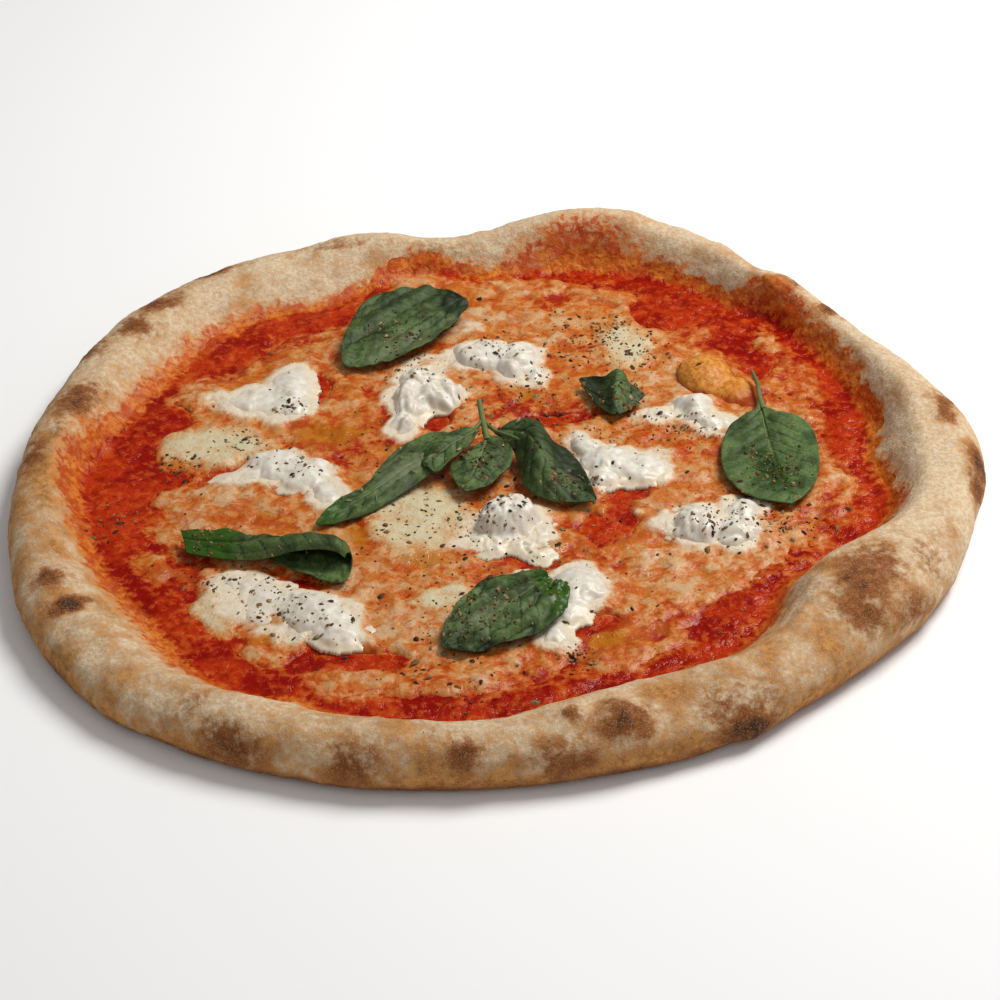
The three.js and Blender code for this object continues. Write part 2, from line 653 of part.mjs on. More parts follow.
// Closes two matching grids of points into one thin solid
function sheetSolid(top, bottom, columns) {
  const rows = top.length / columns;
  const under = top.length;
  const at = (row, column) => row * columns + column;
  const triangles = [];
  for (let row = 0; row < rows - 1; row++) {
    for (let column = 0; column < columns - 1; column++) {
      const [a, b] = [at(row, column), at(row + 1, column)];
      const [c, d] = [at(row + 1, column + 1), at(row, column + 1)];
      triangles.push([a, b, c], [a, c, d]);
      triangles.push([under + a, under + c, under + b], [under + a, under + d, under + c]);
    }
  }
  const wall = (a, b) => triangles.push([a, under + a, under + b], [a, under + b, b]);
  for (let row = 0; row < rows - 1; row++) {
    wall(at(row, 0), at(row + 1, 0));
    wall(at(row + 1, columns - 1), at(row, columns - 1));
  }
  for (let column = 0; column < columns - 1; column++) {
    wall(at(0, column + 1), at(0, column));
    wall(at(rows - 1, column), at(rows - 1, column + 1));
  }
  return geometryOf([...top, ...bottom], triangles);
}

function stemSolid({ points, radius }) {
  const outline = new THREE.Shape().absarc(0, 0, radius, 0, 2 * Math.PI);
  const path = new THREE.CatmullRomCurve3(points.map((point) => new THREE.Vector3(...point)));
  const tube = new THREE.ExtrudeGeometry(outline, {
    steps: 6,
    curveSegments: 3,
    bevelEnabled: false,
    extrudePath: path,
  });
  return toManifold(tube);
}

const LEAF_NAMES = [
  'basil_back_leaf',
  'basil_curled_leaf',
  'basil_right_leaf',
  'basil_sprig',
  'basil_rolled_leaf',
  'basil_front_leaf',
];

function leafSurfaces(name) {
  const blades = (BASIL_BLADES[name] ?? []).map(bladeSurface);
  return FOLDED_LEAVES[name] ? [...blades, foldedSurface(FOLDED_LEAVES[name])] : blades;
}

function basilLeaf(name) {
  const stems = (STEMS[name] ?? []).map(stemSolid);
  return wasm.Manifold.union([...leafSurfaces(name).map(leafSolid), ...stems]);
}

// A place counts as under a leaf if it is near a point of one
const leafPoints = LEAF_NAMES.flatMap(leafSurfaces).flat(2);
const underLeaf = (x, y) => leafPoints.some((point) => Math.hypot(point.x - x, point.y - y) < 7);

function underBurrata(x, y) {
  return Object.values(BURRATA).flat().some(([cx, cy, length, width, turn]) => (
    ellipseShare(x, y, { at: [cx, cy], size: [length + 4, width + 4], turn }) < 1
  ));
}

const nearBubble = (x, y) => Math.hypot(x - BUBBLE.at[0], y - BUBBLE.at[1]) < 24;

// ------------------------------------------------------------------------- assembly

const FINISHES = {
  crust: new THREE.MeshStandardMaterial({ color: 0xcfb48c, roughness: 0.85, metalness: 0 }),
  sauce: new THREE.MeshStandardMaterial({ color: 0xb5301a, roughness: 0.35, metalness: 0 }),
  cheese: new THREE.MeshStandardMaterial({ color: 0xdf9a6a, roughness: 0.4, metalness: 0 }),
  burrata: new THREE.MeshStandardMaterial({ color: 0xece6da, roughness: 0.4, metalness: 0 }),
  basil: new THREE.MeshStandardMaterial({ color: 0x35562f, roughness: 0.5, metalness: 0 }),
};

const pizza = new THREE.Group();

function addPiece(name, solid, finish) {
  const mesh = new THREE.Mesh(toGeometry(solid), FINISHES[finish]);
  mesh.name = name;
  pizza.add(mesh);
}

const cheese = cheeseSheet();
const liftedCheese = cheese.translate([0, 0, GAP]);
const covered = (x, y) => underLeaf(x, y) || underBurrata(x, y) || nearBubble(x, y);

addPiece('dough_base', doughBase(), 'crust');
addPiece('tomato_sauce', tomatoSauce(), 'sauce');
addPiece('melted_mozzarella', wasm.Manifold.union([cheese, ...flakes(covered)]), 'cheese');
Object.entries(BURRATA).forEach(([name, lumps], index) => {
  addPiece(name, burrataClot(lumps, index + 1, liftedCheese), 'burrata');
});
for (const name of LEAF_NAMES) addPiece(name, basilLeaf(name), 'basil');

export default pizza;
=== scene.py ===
"""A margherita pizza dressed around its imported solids.

Lengths here are millimetres, as on the plan of the pizza, until new_mesh() writes them in metres.
Only the floor and the light are given in metres.
Angles are in degrees, from +X towards +Y. The front is -Y. The camera looks along +Y, and down.
Places read through the camera are given on the plan at PLAN_HEIGHT, and seen() finds the
surface behind such a place.
"""

import math

import bpy
import numpy as np
from mathutils import Euler, Matrix, Vector
from mathutils.bvhtree import BVHTree


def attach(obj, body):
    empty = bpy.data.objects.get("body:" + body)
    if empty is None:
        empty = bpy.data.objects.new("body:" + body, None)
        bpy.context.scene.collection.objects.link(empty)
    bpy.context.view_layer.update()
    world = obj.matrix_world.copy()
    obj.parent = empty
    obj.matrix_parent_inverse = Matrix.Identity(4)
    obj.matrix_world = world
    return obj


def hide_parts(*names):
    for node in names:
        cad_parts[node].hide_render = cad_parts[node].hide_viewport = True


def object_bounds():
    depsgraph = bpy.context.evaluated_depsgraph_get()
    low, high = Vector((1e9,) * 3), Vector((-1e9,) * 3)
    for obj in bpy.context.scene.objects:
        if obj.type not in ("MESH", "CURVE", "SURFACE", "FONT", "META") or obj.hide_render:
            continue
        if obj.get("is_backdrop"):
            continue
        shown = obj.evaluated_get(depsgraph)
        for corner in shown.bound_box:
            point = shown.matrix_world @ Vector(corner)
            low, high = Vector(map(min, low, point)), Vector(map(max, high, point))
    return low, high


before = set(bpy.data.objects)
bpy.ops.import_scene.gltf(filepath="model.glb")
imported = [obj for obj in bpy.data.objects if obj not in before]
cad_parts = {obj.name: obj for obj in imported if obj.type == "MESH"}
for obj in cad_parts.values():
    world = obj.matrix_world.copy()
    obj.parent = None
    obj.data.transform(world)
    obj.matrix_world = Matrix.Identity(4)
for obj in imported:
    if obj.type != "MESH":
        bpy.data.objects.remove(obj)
CAD_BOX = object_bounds()

MM = 0.001

# ---- driving dimensions

RIM_RADIUS = 160.0
RIM_HEIGHT = 18.0
BARE_RIM = 26.0
CREST_INSET = 12.0
CONTACT_INSET = 6.0
FOOT_INSET = 6.0
BELLY_SHARE = 0.42
BELLY_FULLNESS = 0.8
DOUGH_THICKNESS = 3.4
GAP = 0.35
SAUCE_TOP = 4.9
CHEESE_BOTTOM = SAUCE_TOP + GAP
CHEESE_RADIUS = 115.0
CHEESE_THICKNESS = 1.5
PLAN_HEIGHT = 6.0
RAYS = 720

# Uneven places of each measure round the pizza: direction, spread and amount
OUTLINE_SWELLS = [
    (355, 11, 6), (28, 20, -9.5), (47, 5, -5), (68, 14, 4.5), (94, 10, -8.5), (138, 25, 12),
    (178, 22, 4), (215, 26, 11), (278, 16, -3), (308, 14, -2.5), (331, 10, 2.5),
]
BARE_RIM_SWELLS = [
    (357, 9, 11), (34, 22, -12), (43, 5, -3), (99, 8, -12), (118, 9, 6), (142, 22, 7),
    (176, 10, -7), (212, 12, 9), (241, 3, 5), (290, 16, 7), (323, 12, 17),
]
CREST_INSET_SWELLS = [
    (356, 10, 8), (35, 20, -5), (95, 10, -5), (140, 20, 3), (212, 20, 2), (288, 12, 9),
    (324, 13, 15),
]
HEIGHT_SWELLS = [
    (0, 14, 3), (31, 10, -2), (43, 4, 0.8), (65.5, 4, -3), (72, 11, 4.5), (95, 8, -3),
    (130, 22, -1), (214, 20, -2), (324, 16, 6),
]
CHEESE_SWELLS = [
    (30, 10, 7), (46, 8, -5), (66, 12, 9), (105, 12, 14), (156, 30, 6), (290, 25, -8),
]

# ---- camera and light

CAMERA_ELEVATION = 36.0
CAMERA_DISTANCE = 850.0
CAMERA_TARGET = (0.0, -20.0, 8.0)
CAMERA_ROLL = -3.0
CAMERA_LENS = 90.7


def camera_place():
    tilt = math.radians(CAMERA_ELEVATION)
    back = Vector((0, -math.cos(tilt), math.sin(tilt))) * CAMERA_DISTANCE
    return Vector(CAMERA_TARGET) + back


def view_ray(x, y):
    """The camera's place and its way towards a place on the plan."""
    eye = camera_place()
    return eye, (Vector((x, y, PLAN_HEIGHT)) - eye).normalized()


def placed(name, data):
    """A new object in the scene."""
    item = bpy.data.objects.new(name, data)
    bpy.context.scene.collection.objects.link(item)
    return item


def make_camera():
    data = bpy.data.cameras.new("camera")
    data.lens = CAMERA_LENS
    camera = placed("camera", data)
    aim = Euler((math.radians(90 - CAMERA_ELEVATION), 0, 0)).to_matrix()
    roll = Matrix.Rotation(math.radians(CAMERA_ROLL), 3, "Z")
    camera.matrix_world = Matrix.Translation(camera_place() * MM) @ (aim @ roll).to_4x4()
    bpy.context.scene.camera = camera


make_camera()

# ---- noise


def lattice_hash(ix, iy, iz, seed):
    mixed = (
        ix.astype(np.uint32) * np.uint32(73856093)
        ^ iy.astype(np.uint32) * np.uint32(19349663)
        ^ iz.astype(np.uint32) * np.uint32(83492791)
        ^ np.uint32((seed * 2654435761) % 4294967296)
    )
    mixed ^= mixed >> np.uint32(13)
    mixed *= np.uint32(1540483477)
    mixed ^= mixed >> np.uint32(15)
    return mixed


def noise(points, size, seed):
    """Smooth noise from about -1 to 1, with features of the given size."""
    place = np.asarray(points, float) / size + seed * 17.3
    cell = np.floor(place).astype(np.int64)
    part = place - cell
    fade = part**3 * (part * (part * 6 - 15) + 10)
    total = np.zeros(len(place))
    for corner in range(8):
        step = np.array([corner & 1, corner >> 1 & 1, corner >> 2 & 1])
        mixed = lattice_hash(*(cell + step).T, seed)
        offset = part - step
        dot = np.zeros(len(place))
        for axis in range(3):
            slope = (mixed >> np.uint32(10 * axis) & np.uint32(1023)).astype(float) / 511.5 - 1
            dot += slope * offset[:, axis]
        weight = np.prod(np.where(step, fade, 1 - fade), axis=1)
        total += dot * weight
    return total * 1.5


def fbm(points, size, octaves, seed, gain=0.5):
    total = np.zeros(len(points))
    share = 1.0
    for octave in range(octaves):
        total += share * noise(points, size / 2**octave, seed + octave)
        share *= gain
    return total


def noises(points, *layers):
    """Noise of several sizes, added up. Each layer is an amount, a size and a seed."""
    return sum(amount * noise(points, size, seed) for amount, size, seed in layers)


def flat(x, y):
    """Points at height 0 from plan coordinates."""
    return np.stack(np.broadcast_arrays(x, y, 0.0), axis=-1).reshape(-1, 3).astype(float)


def plan_noise(x, y, *layers):
    """noises() at places on the plan, in their own grid."""
    return noises(flat(x, y), *layers).reshape(np.shape(x))


def warped(x, y, size, amount, seed):
    """The plan places pushed about by noise, for outlines without a plain ellipse's look."""
    push = [plan_noise(x, y, (amount, size, seed + i)) for i in range(2)]
    return x + push[0], y + push[1]


def smooth(value, low, high):
    """0 at low, 1 at high, and a soft step between."""
    share = np.clip((value - low) / (high - low), 0, 1)
    return share * share * (3 - 2 * share)


def bell(distance, spread):
    return np.exp(-((distance / spread) ** 2))


def turn_between(a, b):
    return (a - b + 540) % 360 - 180


def swell(swells, angle):
    """Bumps added up round the pizza, each a direction, a spread and an amount."""
    return sum(amount * bell(turn_between(angle, centre), spread) for centre, spread, amount in swells)


def ellipse_share(x, y, ellipse):
    """0 in the middle of an ellipse and 1 at its edge. It has a place, half sizes and a turn."""
    px, py, long, wide, turn = ellipse
    cos, sin = math.cos(math.radians(turn)), math.sin(math.radians(turn))
    along = (x - px) * cos + (y - py) * sin
    across = (y - py) * cos - (x - px) * sin
    return np.hypot(along / long, across / wide)


def refined(points, count):
    """A smooth curve through the points along the first axis, at the given number of places."""
    points = np.asarray(points, float)
    place = np.linspace(0, len(points) - 1, count)
    start = np.minimum(place.astype(int), len(points) - 2)
    t = (place - start).reshape(-1, *[1] * (points.ndim - 1))
    before, after = points[np.maximum(start - 1, 0)], points[np.minimum(start + 2, len(points) - 1)]
    a, b = points[start], points[start + 1]
    return 0.5 * (
        2 * a
        + (b - before) * t
        + (2 * before - 5 * a + 4 * b - after) * t**2
        + (3 * a - before - 3 * b + after) * t**3
    )


# ---- making the meshes


def new_mesh(name, points, faces, material, values=None):
    mesh = bpy.data.meshes.new(name)
    mesh.from_pydata((np.asarray(points) * MM).tolist(), [], faces)
    mesh.polygons.foreach_set("use_smooth", [True] * len(mesh.polygons))
    for key, value in (values or {}).items():
        layer = mesh.attributes.new(key, "FLOAT", "POINT")
        layer.data.foreach_set("value", np.asarray(value, np.float32))
    mesh.materials.append(material)
    piece = placed(name, mesh)
    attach(piece, "root")
    return piece


def ring_faces(rings, rays):
    """Quads between rings of points that run anticlockwise."""
    ring, ray = np.meshgrid(np.arange(rings - 1), np.arange(rays), indexing="ij")
    after = (ray + 1) % rays
    quads = np.stack(
        [ring * rays + ray, ring * rays + after, (ring + 1) * rays + after, (ring + 1) * rays + ray],
        axis=-1,
    )
    return quads.reshape(-1, 4).tolist()


def fan(centre, first, rays, upwards):
    """Triangles from a centre point to a ring of points."""
    around = [first + ray for ray in range(rays)]
    pairs = zip(around, around[1:] + around[:1])
    return [(centre, a, b) if upwards else (centre, b, a) for a, b in pairs]


def grid_normals(points):
    """Normals of a closed grid of points, rings by rays."""
    around = np.roll(points, -1, axis=1) - np.roll(points, 1, axis=1)
    onwards = np.gradient(points, axis=0)
    normals = np.cross(around, onwards)
    return normals / np.maximum(np.linalg.norm(normals, axis=-1, keepdims=True), 1e-9)


def plan_sheet(x, y, top, bottom, keep):
    """Closed sheet over the kept points of a plan grid: points, faces, and the index of each point."""
    rows, columns = x.shape
    index = np.arange(rows * columns).reshape(rows, columns)
    cells = keep[:-1, :-1] & keep[1:, :-1] & keep[:-1, 1:] & keep[1:, 1:]
    first = index[:-1, :-1][cells]
    quads = first[:, None] + np.array([0, 1, columns + 1, columns])
    edges = np.concatenate([quads[:, [i, (i + 1) % 4]] for i in range(4)])
    seen_once = {}
    for start, end in edges.tolist():
        if (end, start) in seen_once:
            del seen_once[end, start]
        else:
            seen_once[start, end] = True
    used, packed = np.unique(quads, return_inverse=True)
    packed = packed.reshape(-1, 4)
    place = np.zeros(rows * columns, int)
    place[used] = np.arange(len(used))
    upper = np.stack([x.ravel(), y.ravel(), top.ravel()], axis=-1)[used]
    lower = upper.copy()
    lower[:, 2] = bottom
    faces = packed.tolist() + (packed[:, ::-1] + len(used)).tolist()
    for start, end in seen_once:
        a, b = int(place[start]), int(place[end])
        faces.append([b, a, a + len(used), b + len(used)])
    return np.vstack([upper, lower]), faces, used


def tree_of(points, faces):
    return BVHTree.FromPolygons([tuple(p) for p in points], faces)


def seen(tree, x, y):
    """The surface place that the camera sees behind a place on the plan."""
    hit = tree.ray_cast(*view_ray(x, y))[0]
    return hit if hit is not None else Vector((x, y, PLAN_HEIGHT))


# ---- materials


class Shader:
    """A small helper for building a node material."""

    def __init__(self, name):
        self.material = bpy.data.materials.new(name)
        self.material.use_nodes = True
        self.tree = self.material.node_tree
        self.body = self.tree.nodes["Principled BSDF"]
        self.place = self.node("ShaderNodeTexCoord").outputs["Object"]

    def link(self, source, target):
        if hasattr(source, "is_output"):
            self.tree.links.new(source, target)
        else:
            target.default_value = source

    def node(self, kind, inputs=None, **settings):
        """A new node with its settings and what goes into its sockets."""
        node = self.tree.nodes.new(kind)
        for key, value in settings.items():
            setattr(node, key, value)
        for key, value in (inputs or {}).items():
            self.link(value, node.inputs[key])
        return node

    def value(self, name):
        return self.node("ShaderNodeAttribute", attribute_name=name).outputs["Fac"]

    def texture(self, size_mm, detail=3.0, roughness=0.55, distortion=0.0):
        """Noise from 0 to 1 with features of about the given size."""
        inputs = {"Vector": self.place, "Scale": 1 / (size_mm * MM)}
        inputs |= {"Detail": detail, "Roughness": roughness, "Distortion": distortion}
        return self.node("ShaderNodeTexNoise", inputs).outputs["Fac"]

    def ridges(self, size_mm, width, distortion=1.0):
        """Thin winding lines, 1 on the line and 0 away from it."""
        middle = self.maths("SUBTRACT", self.texture(size_mm, 3, 0.5, distortion), 0.5)
        return self.ramp(self.maths("ABSOLUTE", middle), 0.0, width, 1.0, 0.0)

    def spread(self, source, amount, low=0.36, high=0.64):
        """A texture as a swing of the given amount about 0."""
        return self.ramp(source, low, high, -amount / 2, amount / 2)

    def swung(self, name, *swings):
        """A mesh's own value, made uneven by textures, each with what spread() takes."""
        total = self.value(name)
        for swing in swings:
            total = self.maths("ADD", total, self.spread(*swing))
        return total

    def maths(self, operation, a, b=0.0, clamp=False):
        inputs = {0: a, 1: b}
        return self.node("ShaderNodeMath", inputs, operation=operation, use_clamp=clamp).outputs[0]

    def ramp(self, source, low, high, to_low=0.0, to_high=1.0):
        inputs = {"Value": source, "From Min": low, "From Max": high, "To Min": to_low, "To Max": to_high}
        return self.node("ShaderNodeMapRange", inputs, interpolation_type="SMOOTHSTEP").outputs["Result"]

    def mix(self, share, a, b):
        shades = [shade if hasattr(shade, "is_output") else (*shade, 1.0) for shade in (a, b)]
        inputs = {0: share, 6: shades[0], 7: shades[1]}
        return self.node("ShaderNodeMix", inputs, data_type="RGBA", blend_type="MIX").outputs[2]

    def tint(self, color, source, low, high, shade, most=1.0, least=0.0):
        """The colour under a shade, which goes from least to most as the source goes from low to high."""
        shade = shade if hasattr(shade, "is_output") else srgb(*shade)
        return self.mix(self.ramp(source, low, high, least, most), color, shade)

    def tints(self, color, *layers):
        """The colour under several shades, each with what tint() takes."""
        for layer in layers:
            color = self.tint(color, *layer)
        return color

    def bumps(self, *layers):
        """Bumps on one another, each with a height, a strength and a depth in millimetres."""
        below = {}
        for height, strength, depth in layers:
            inputs = {"Strength": strength, "Distance": depth * MM, "Height": height, **below}
            below = {"Normal": self.node("ShaderNodeBump", inputs).outputs["Normal"]}
        return below

    def finish(self, color, roughness, bumps=None, **sockets):
        inputs = {key.replace("_", " "): value for key, value in sockets.items()}
        inputs |= {"Subsurface Radius": (1.0, 0.75, 0.55), "Base Color": color, "Roughness": roughness}
        for key, value in (inputs | (bumps or {})).items():
            self.link(value, self.body.inputs[key])
        return self.material


def srgb(red, green, blue):
    """Linear colour from the usual 0 to 255 values."""
    return tuple(((c / 255 + 0.055) / 1.055) ** 2.4 if c > 10 else c / 3294 for c in (red, green, blue))


def stain_texture(s):
    """Colour of dough that sauce and oil have soaked, the same on the crust and at the sauce's edge."""
    return s.tints(
        srgb(182, 74, 14),
        (s.texture(2.4, 4, 0.65, 0.4), 0.36, 0.62, (210, 124, 44)),
        (s.texture(9, 2), 0.42, 0.6, (172, 54, 12), 0.7),
    )


def crust_material():
    s = Shader("crust")
    flour = s.texture(1.5, 4, 0.7)
    grain = s.texture(0.5, 2, 0.6)
    blotch = s.texture(7, 4, 0.6)
    speck = s.texture(2.4, 4, 0.65)
    # The tan also carries painted shade on the outside of the rim, most of all on its left side.
    tan_and_shade = s.swung("tan_and_shade", (blotch, 0.45), (speck, 0.35))
    brown = s.swung("brown", (speck, 0.3), (blotch, 0.25))
    soak = s.swung("stain", (s.texture(2.8, 4, 0.65, 0.5), 0.55))
    color = s.tints(
        srgb(194, 166, 130),
        (flour, 0.34, 0.66, (220, 200, 170)),
        (tan_and_shade, 0.0, 1.25, s.tint(srgb(148, 92, 38), speck, 0.34, 0.66, (198, 142, 78))),
        (brown, 0.15, 0.8, (130, 74, 30)),
        (brown, 0.75, 1.3, (70, 36, 16)),
        (soak, 0.05, 0.6, (206, 138, 72), 0.5),
        (soak, 0.5, 1.05, stain_texture(s)),
    )
    dusting = s.maths("MULTIPLY", s.ramp(grain, 0.5, 0.72), s.ramp(soak, 0.05, 0.6, 0.24, 0.05))
    color = s.mix(dusting, color, srgb(224, 206, 176))
    bumps = s.bumps((grain, 0.5, 0.4), (flour, 0.5, 0.9))
    return s.finish(color, s.ramp(soak, 0.4, 1.0, 0.85, 0.4), bumps, Specular_IOR_Level=0.2)


def sauce_material():
    s = Shader("tomato_sauce")
    patch = s.texture(13, 3, 0.55, 0.4)
    pulp = s.texture(3.0, 3, 0.6, 0.3)
    creamy = s.swung("creamy", (pulp, 0.6), (patch, 0.5))
    thin = s.swung("thin", (pulp, 0.5))
    color = s.tints(
        srgb(140, 12, 3),
        (patch, 0.4, 0.6, (176, 46, 8)),
        (pulp, 0.5, 0.66, (188, 76, 24), 0.7),
        (pulp, 0.32, 0.45, (112, 8, 1), 0.0, 0.6),
        (creamy, 0.3, 0.9, (186, 84, 26), 0.85),
        (creamy, 0.8, 1.35, (204, 136, 84), 0.8),
        (thin, 0.25, 1.0, stain_texture(s)),
    )
    bumps = s.bumps((pulp, 0.7, 1.6), (s.texture(0.9, 2, 0.6), 0.2, 0.35))
    wet = {"IOR": 1.36, "Specular_IOR_Level": 0.22}
    soft = {"Subsurface_Weight": 0.05, "Subsurface_Scale": 0.0012}
    return s.finish(color, s.ramp(thin, 0.2, 1.0, 0.18, 0.4), bumps, **wet, **soft)


def cheese_material():
    s = Shader("melted_mozzarella")
    patch = s.texture(6.0, 3, 0.6, 0.3)
    fibre = s.texture(2.4, 4, 0.6, 0.6)
    fleck = s.texture(1.3, 3, 0.6, 0.2)
    broad = s.texture(18, 2, 0.5, 0.5)
    cream = s.swung("cream", (patch, 0.6, 0.38, 0.62), (fibre, 0.26), (fleck, 0.14))
    pool = s.swung("pool", (patch, 0.45), (fleck, 0.2))
    milk = s.swung("milk", (patch, 0.35), (fibre, 0.16))
    oil = s.swung("oil", (patch, 0.5))
    plain = s.maths("SUBTRACT", 1.0, s.maths("MAXIMUM", s.value("pool"), s.value("milk")), True)
    vein = s.maths("MULTIPLY", s.ridges(13, 0.035, 0.8), s.ramp(broad, 0.42, 0.55, 0.1, 0.6))
    freckle = s.ramp(s.texture(2.8, 2, 0.5), 0.62, 0.7, 0, 0.75)
    color = s.tints(
        srgb(154, 32, 5),
        (cream, -0.1, 0.2, (180, 76, 16)),
        (cream, 0.15, 0.42, (190, 104, 38)),
        (cream, 0.38, 0.7, (198, 134, 78)),
        (cream, 0.68, 1.1, (203, 164, 122)),
        (broad, 0.48, 0.6, (190, 112, 34), 0.4),
    )
    color = s.mix(s.maths("MULTIPLY", vein, plain), color, srgb(176, 54, 14))
    color = s.tints(
        color,
        (pool, 0.1, 0.6, (206, 164, 108), 0.6),
        (pool, 0.35, 1.15, (206, 193, 158)),
        (milk, 0.15, 0.6, (214, 176, 136), 0.6),
        (milk, 0.45, 1.0, (222, 208, 184)),
    )
    color = s.mix(s.maths("MULTIPLY", freckle, plain), color, srgb(196, 92, 28))
    color = s.tint(color, oil, 0.3, 1.0, (178, 108, 16), 0.75)
    bumps = s.bumps((patch, 0.5, 1.6), (fibre, 0.5, 0.9))
    soft = {"Subsurface_Weight": 0.08, "Subsurface_Scale": 0.0018}
    return s.finish(color, s.ramp(oil, 0.2, 0.8, 0.32, 0.12), bumps, Specular_IOR_Level=0.24, **soft)


def burrata_material():
    s = Shader("burrata")
    curd = s.texture(3.0, 4, 0.6, 0.3)
    color = s.tints(
        srgb(208, 198, 180),
        (curd, 0.3, 0.7, (228, 223, 212)),
        # The fold valleys are painted darker and warmer: painted shade in the creases.
        (s.value("fold_shade"), 0.2, 0.9, (204, 186, 154), 0.5),
        (s.swung("thin", (curd, 0.3)), 0.3, 0.9, (220, 204, 176), 0.8),
    )
    bumps = s.bumps((curd, 0.16, 0.7), (s.texture(0.9, 3, 0.6), 0.25, 0.3))
    soft = {"Subsurface_Weight": 0.3, "Subsurface_Scale": 0.0025}
    return s.finish(color, s.ramp(curd, 0.3, 0.7, 0.3, 0.42), bumps, Specular_IOR_Level=0.4, **soft)


def basil_material():
    s = Shader("basil")
    cells = s.texture(0.9, 3, 0.6)
    mottle = s.texture(2.4, 3, 0.6, 0.3)
    color = s.tints(
        srgb(56, 74, 36),
        (s.texture(9, 3, 0.55, 0.3), 0.36, 0.64, (96, 120, 66)),
        (mottle, 0.5, 0.68, (110, 130, 80), 0.4),
        (cells, 0.35, 0.65, (36, 52, 22), 0.4),
        # Painted shade along the vein creases and in the fold valleys.
        (s.value("crease_shade"), 0.1, 0.9, (16, 26, 6), 0.85),
        (s.value("vein"), 0.3, 1.0, (116, 126, 78), 0.6),
        # A pale grey-green laid where the leaves catch a sheen: painted sheen.
        (s.value("grey_sheen"), 0.0, 1.0, (124, 130, 96), 0.8),
        (s.value("bright"), 0.0, 1.0, (46, 84, 14), 0.85),
        # Darker places: partly the leaves' own colour and partly painted shade.
        (s.value("dark_and_shade"), 0.0, 1.0, (16, 24, 8), 0.85),
    )
    bumps = s.bumps((mottle, 0.3, 0.6), (cells, 0.3, 0.25))
    return s.finish(color, s.ramp(s.value("bright"), 0.2, 0.9, 0.54, 0.26), bumps, Specular_IOR_Level=0.2)


def herb_material():
    s = Shader("dried_herbs")
    tone = s.value("tone")
    color = s.tints(
        srgb(34, 22, 12),
        (tone, 0.0, 0.45, (88, 60, 32)),
        (tone, 0.4, 0.65, (130, 96, 54)),
        (tone, 0.74, 0.86, (168, 138, 100)),
        (tone, 0.88, 0.94, (108, 112, 80)),
    )
    return s.finish(color, 0.7, s.bumps((s.texture(0.5, 2, 0.6), 0.4, 0.2)), Specular_IOR_Level=0.3)


def golden_material():
    s = Shader("golden_crust")
    speck = s.texture(1.6, 4, 0.65)
    color = s.tints(
        srgb(186, 104, 30),
        (speck, 0.36, 0.64, (216, 152, 70)),
        (s.swung("stain", (speck, 0.5)), 0.4, 1.0, (156, 60, 14)),
    )
    return s.finish(color, 0.42, s.bumps((speck, 0.4, 0.6)), Specular_IOR_Level=0.2)


CRUST = crust_material()
GOLDEN = golden_material()
SAUCE = sauce_material()
CHEESE = cheese_material()
BURRATA_WHITE = burrata_material()
BASIL = basil_material()
HERBS = herb_material()

# ---- the crust

ANGLES = np.arange(RAYS) * 360.0 / RAYS
COS, SIN = np.cos(np.radians(ANGLES)), np.sin(np.radians(ANGLES))
OUTER = RIM_RADIUS + swell(OUTLINE_SWELLS, ANGLES)
SAUCE_RADIUS = OUTER - BARE_RIM - swell(BARE_RIM_SWELLS, ANGLES)
FOOT = SAUCE_RADIUS - FOOT_INSET
CREST = OUTER - CREST_INSET - swell(CREST_INSET_SWELLS, ANGLES)
HEIGHT = (
    RIM_HEIGHT
    + swell(HEIGHT_SWELLS, ANGLES)
    + 0.5 * np.sin(np.radians(11 * ANGLES))
    + 0.4 * np.sin(np.radians(17 * ANGLES + 60))
)

UNDER_RINGS = [0.35, 0.7, 0.92]
LOWER_STEPS = 16
UPPER_STEPS = 44
SLOPE_STEPS = 52
PLATEAU_RINGS = [0.85, 0.6, 0.3]
SLOPE_START = len(UNDER_RINGS) + LOWER_STEPS + UPPER_STEPS    # the ring at the crest

# Bumps on the crust, read on the plan: place, spread and height
CRUST_BUMPS = [
    (35, -132, 7.5, 3.2), (19, -129, 4.5, 1.8), (72, -140, 6, 2.0), (-60, -112, 7, 2.5),
    (118, 120, 6, 1.0), (108, 113, 4, 1.5), (160, -15, 9, 1.5), (120, -75, 13, 1.5),
    (-148, 60, 10, 1.0), (60, 165, 9, 1.8), (25, 168, 10, 1.2),
]
# Brown and charred places, read on the plan: place, half sizes, turn and strength
BROWN_SPOTS = [
    (35, -132, 7, 6, 0, 1.25), (19, -129, 3, 2, 0, 0.9), (73, -141, 9, 4, 10, 1.5),
    (70, -133, 14, 8, 0, 0.75), (15, -152, 9, 5, 0, 0.95), (-14, -148, 4, 7, 0, 0.95),
    (-48, -150, 9, 6, 0, 0.8), (-85, -137, 12, 6, -30, 0.9), (-98, -115, 5, 3, 0, 0.6),
    (-150, -47, 5, 4, 0, 1.0), (-141, -62, 6, 1.6, 25, 1.5), (-163, 25, 4, 10, 0, 0.8),
    (-151, 60, 6, 12, -15, 1.05), (-156, 40, 4, 6, 0, 0.7), (-135, 107, 6, 5, 30, 1.0),
    (-127, 123, 9, 4, 40, 1.0), (-107, 143, 7, 3, 20, 1.1), (-150, 90, 4, 8, -20, 0.8),
    (115, -70, 9, 13, -20, 0.95), (122, -62, 8, 10, 0, 0.8), (112, -88, 8, 6, 0, 0.9),
    (128, -88, 10, 5, 30, 0.7), (138, -60, 6, 8, 0, 0.45), (164, -12, 3, 9, 0, 1.4),
    (161, -25, 3, 6, 10, 1.2), (158, 25, 2.5, 8, 0, 1.0), (127, 93, 4, 4, 30, 0.9),
    (111, 113, 5, 2, -10, 1.3), (92, 150, 5, 3, -20, 0.5), (80, 158, 10, 3, -20, 0.4),
    (-60, 160, 14, 3, 0, 0.5), (-20, 150, 8, 7, 0, 0.4),
]


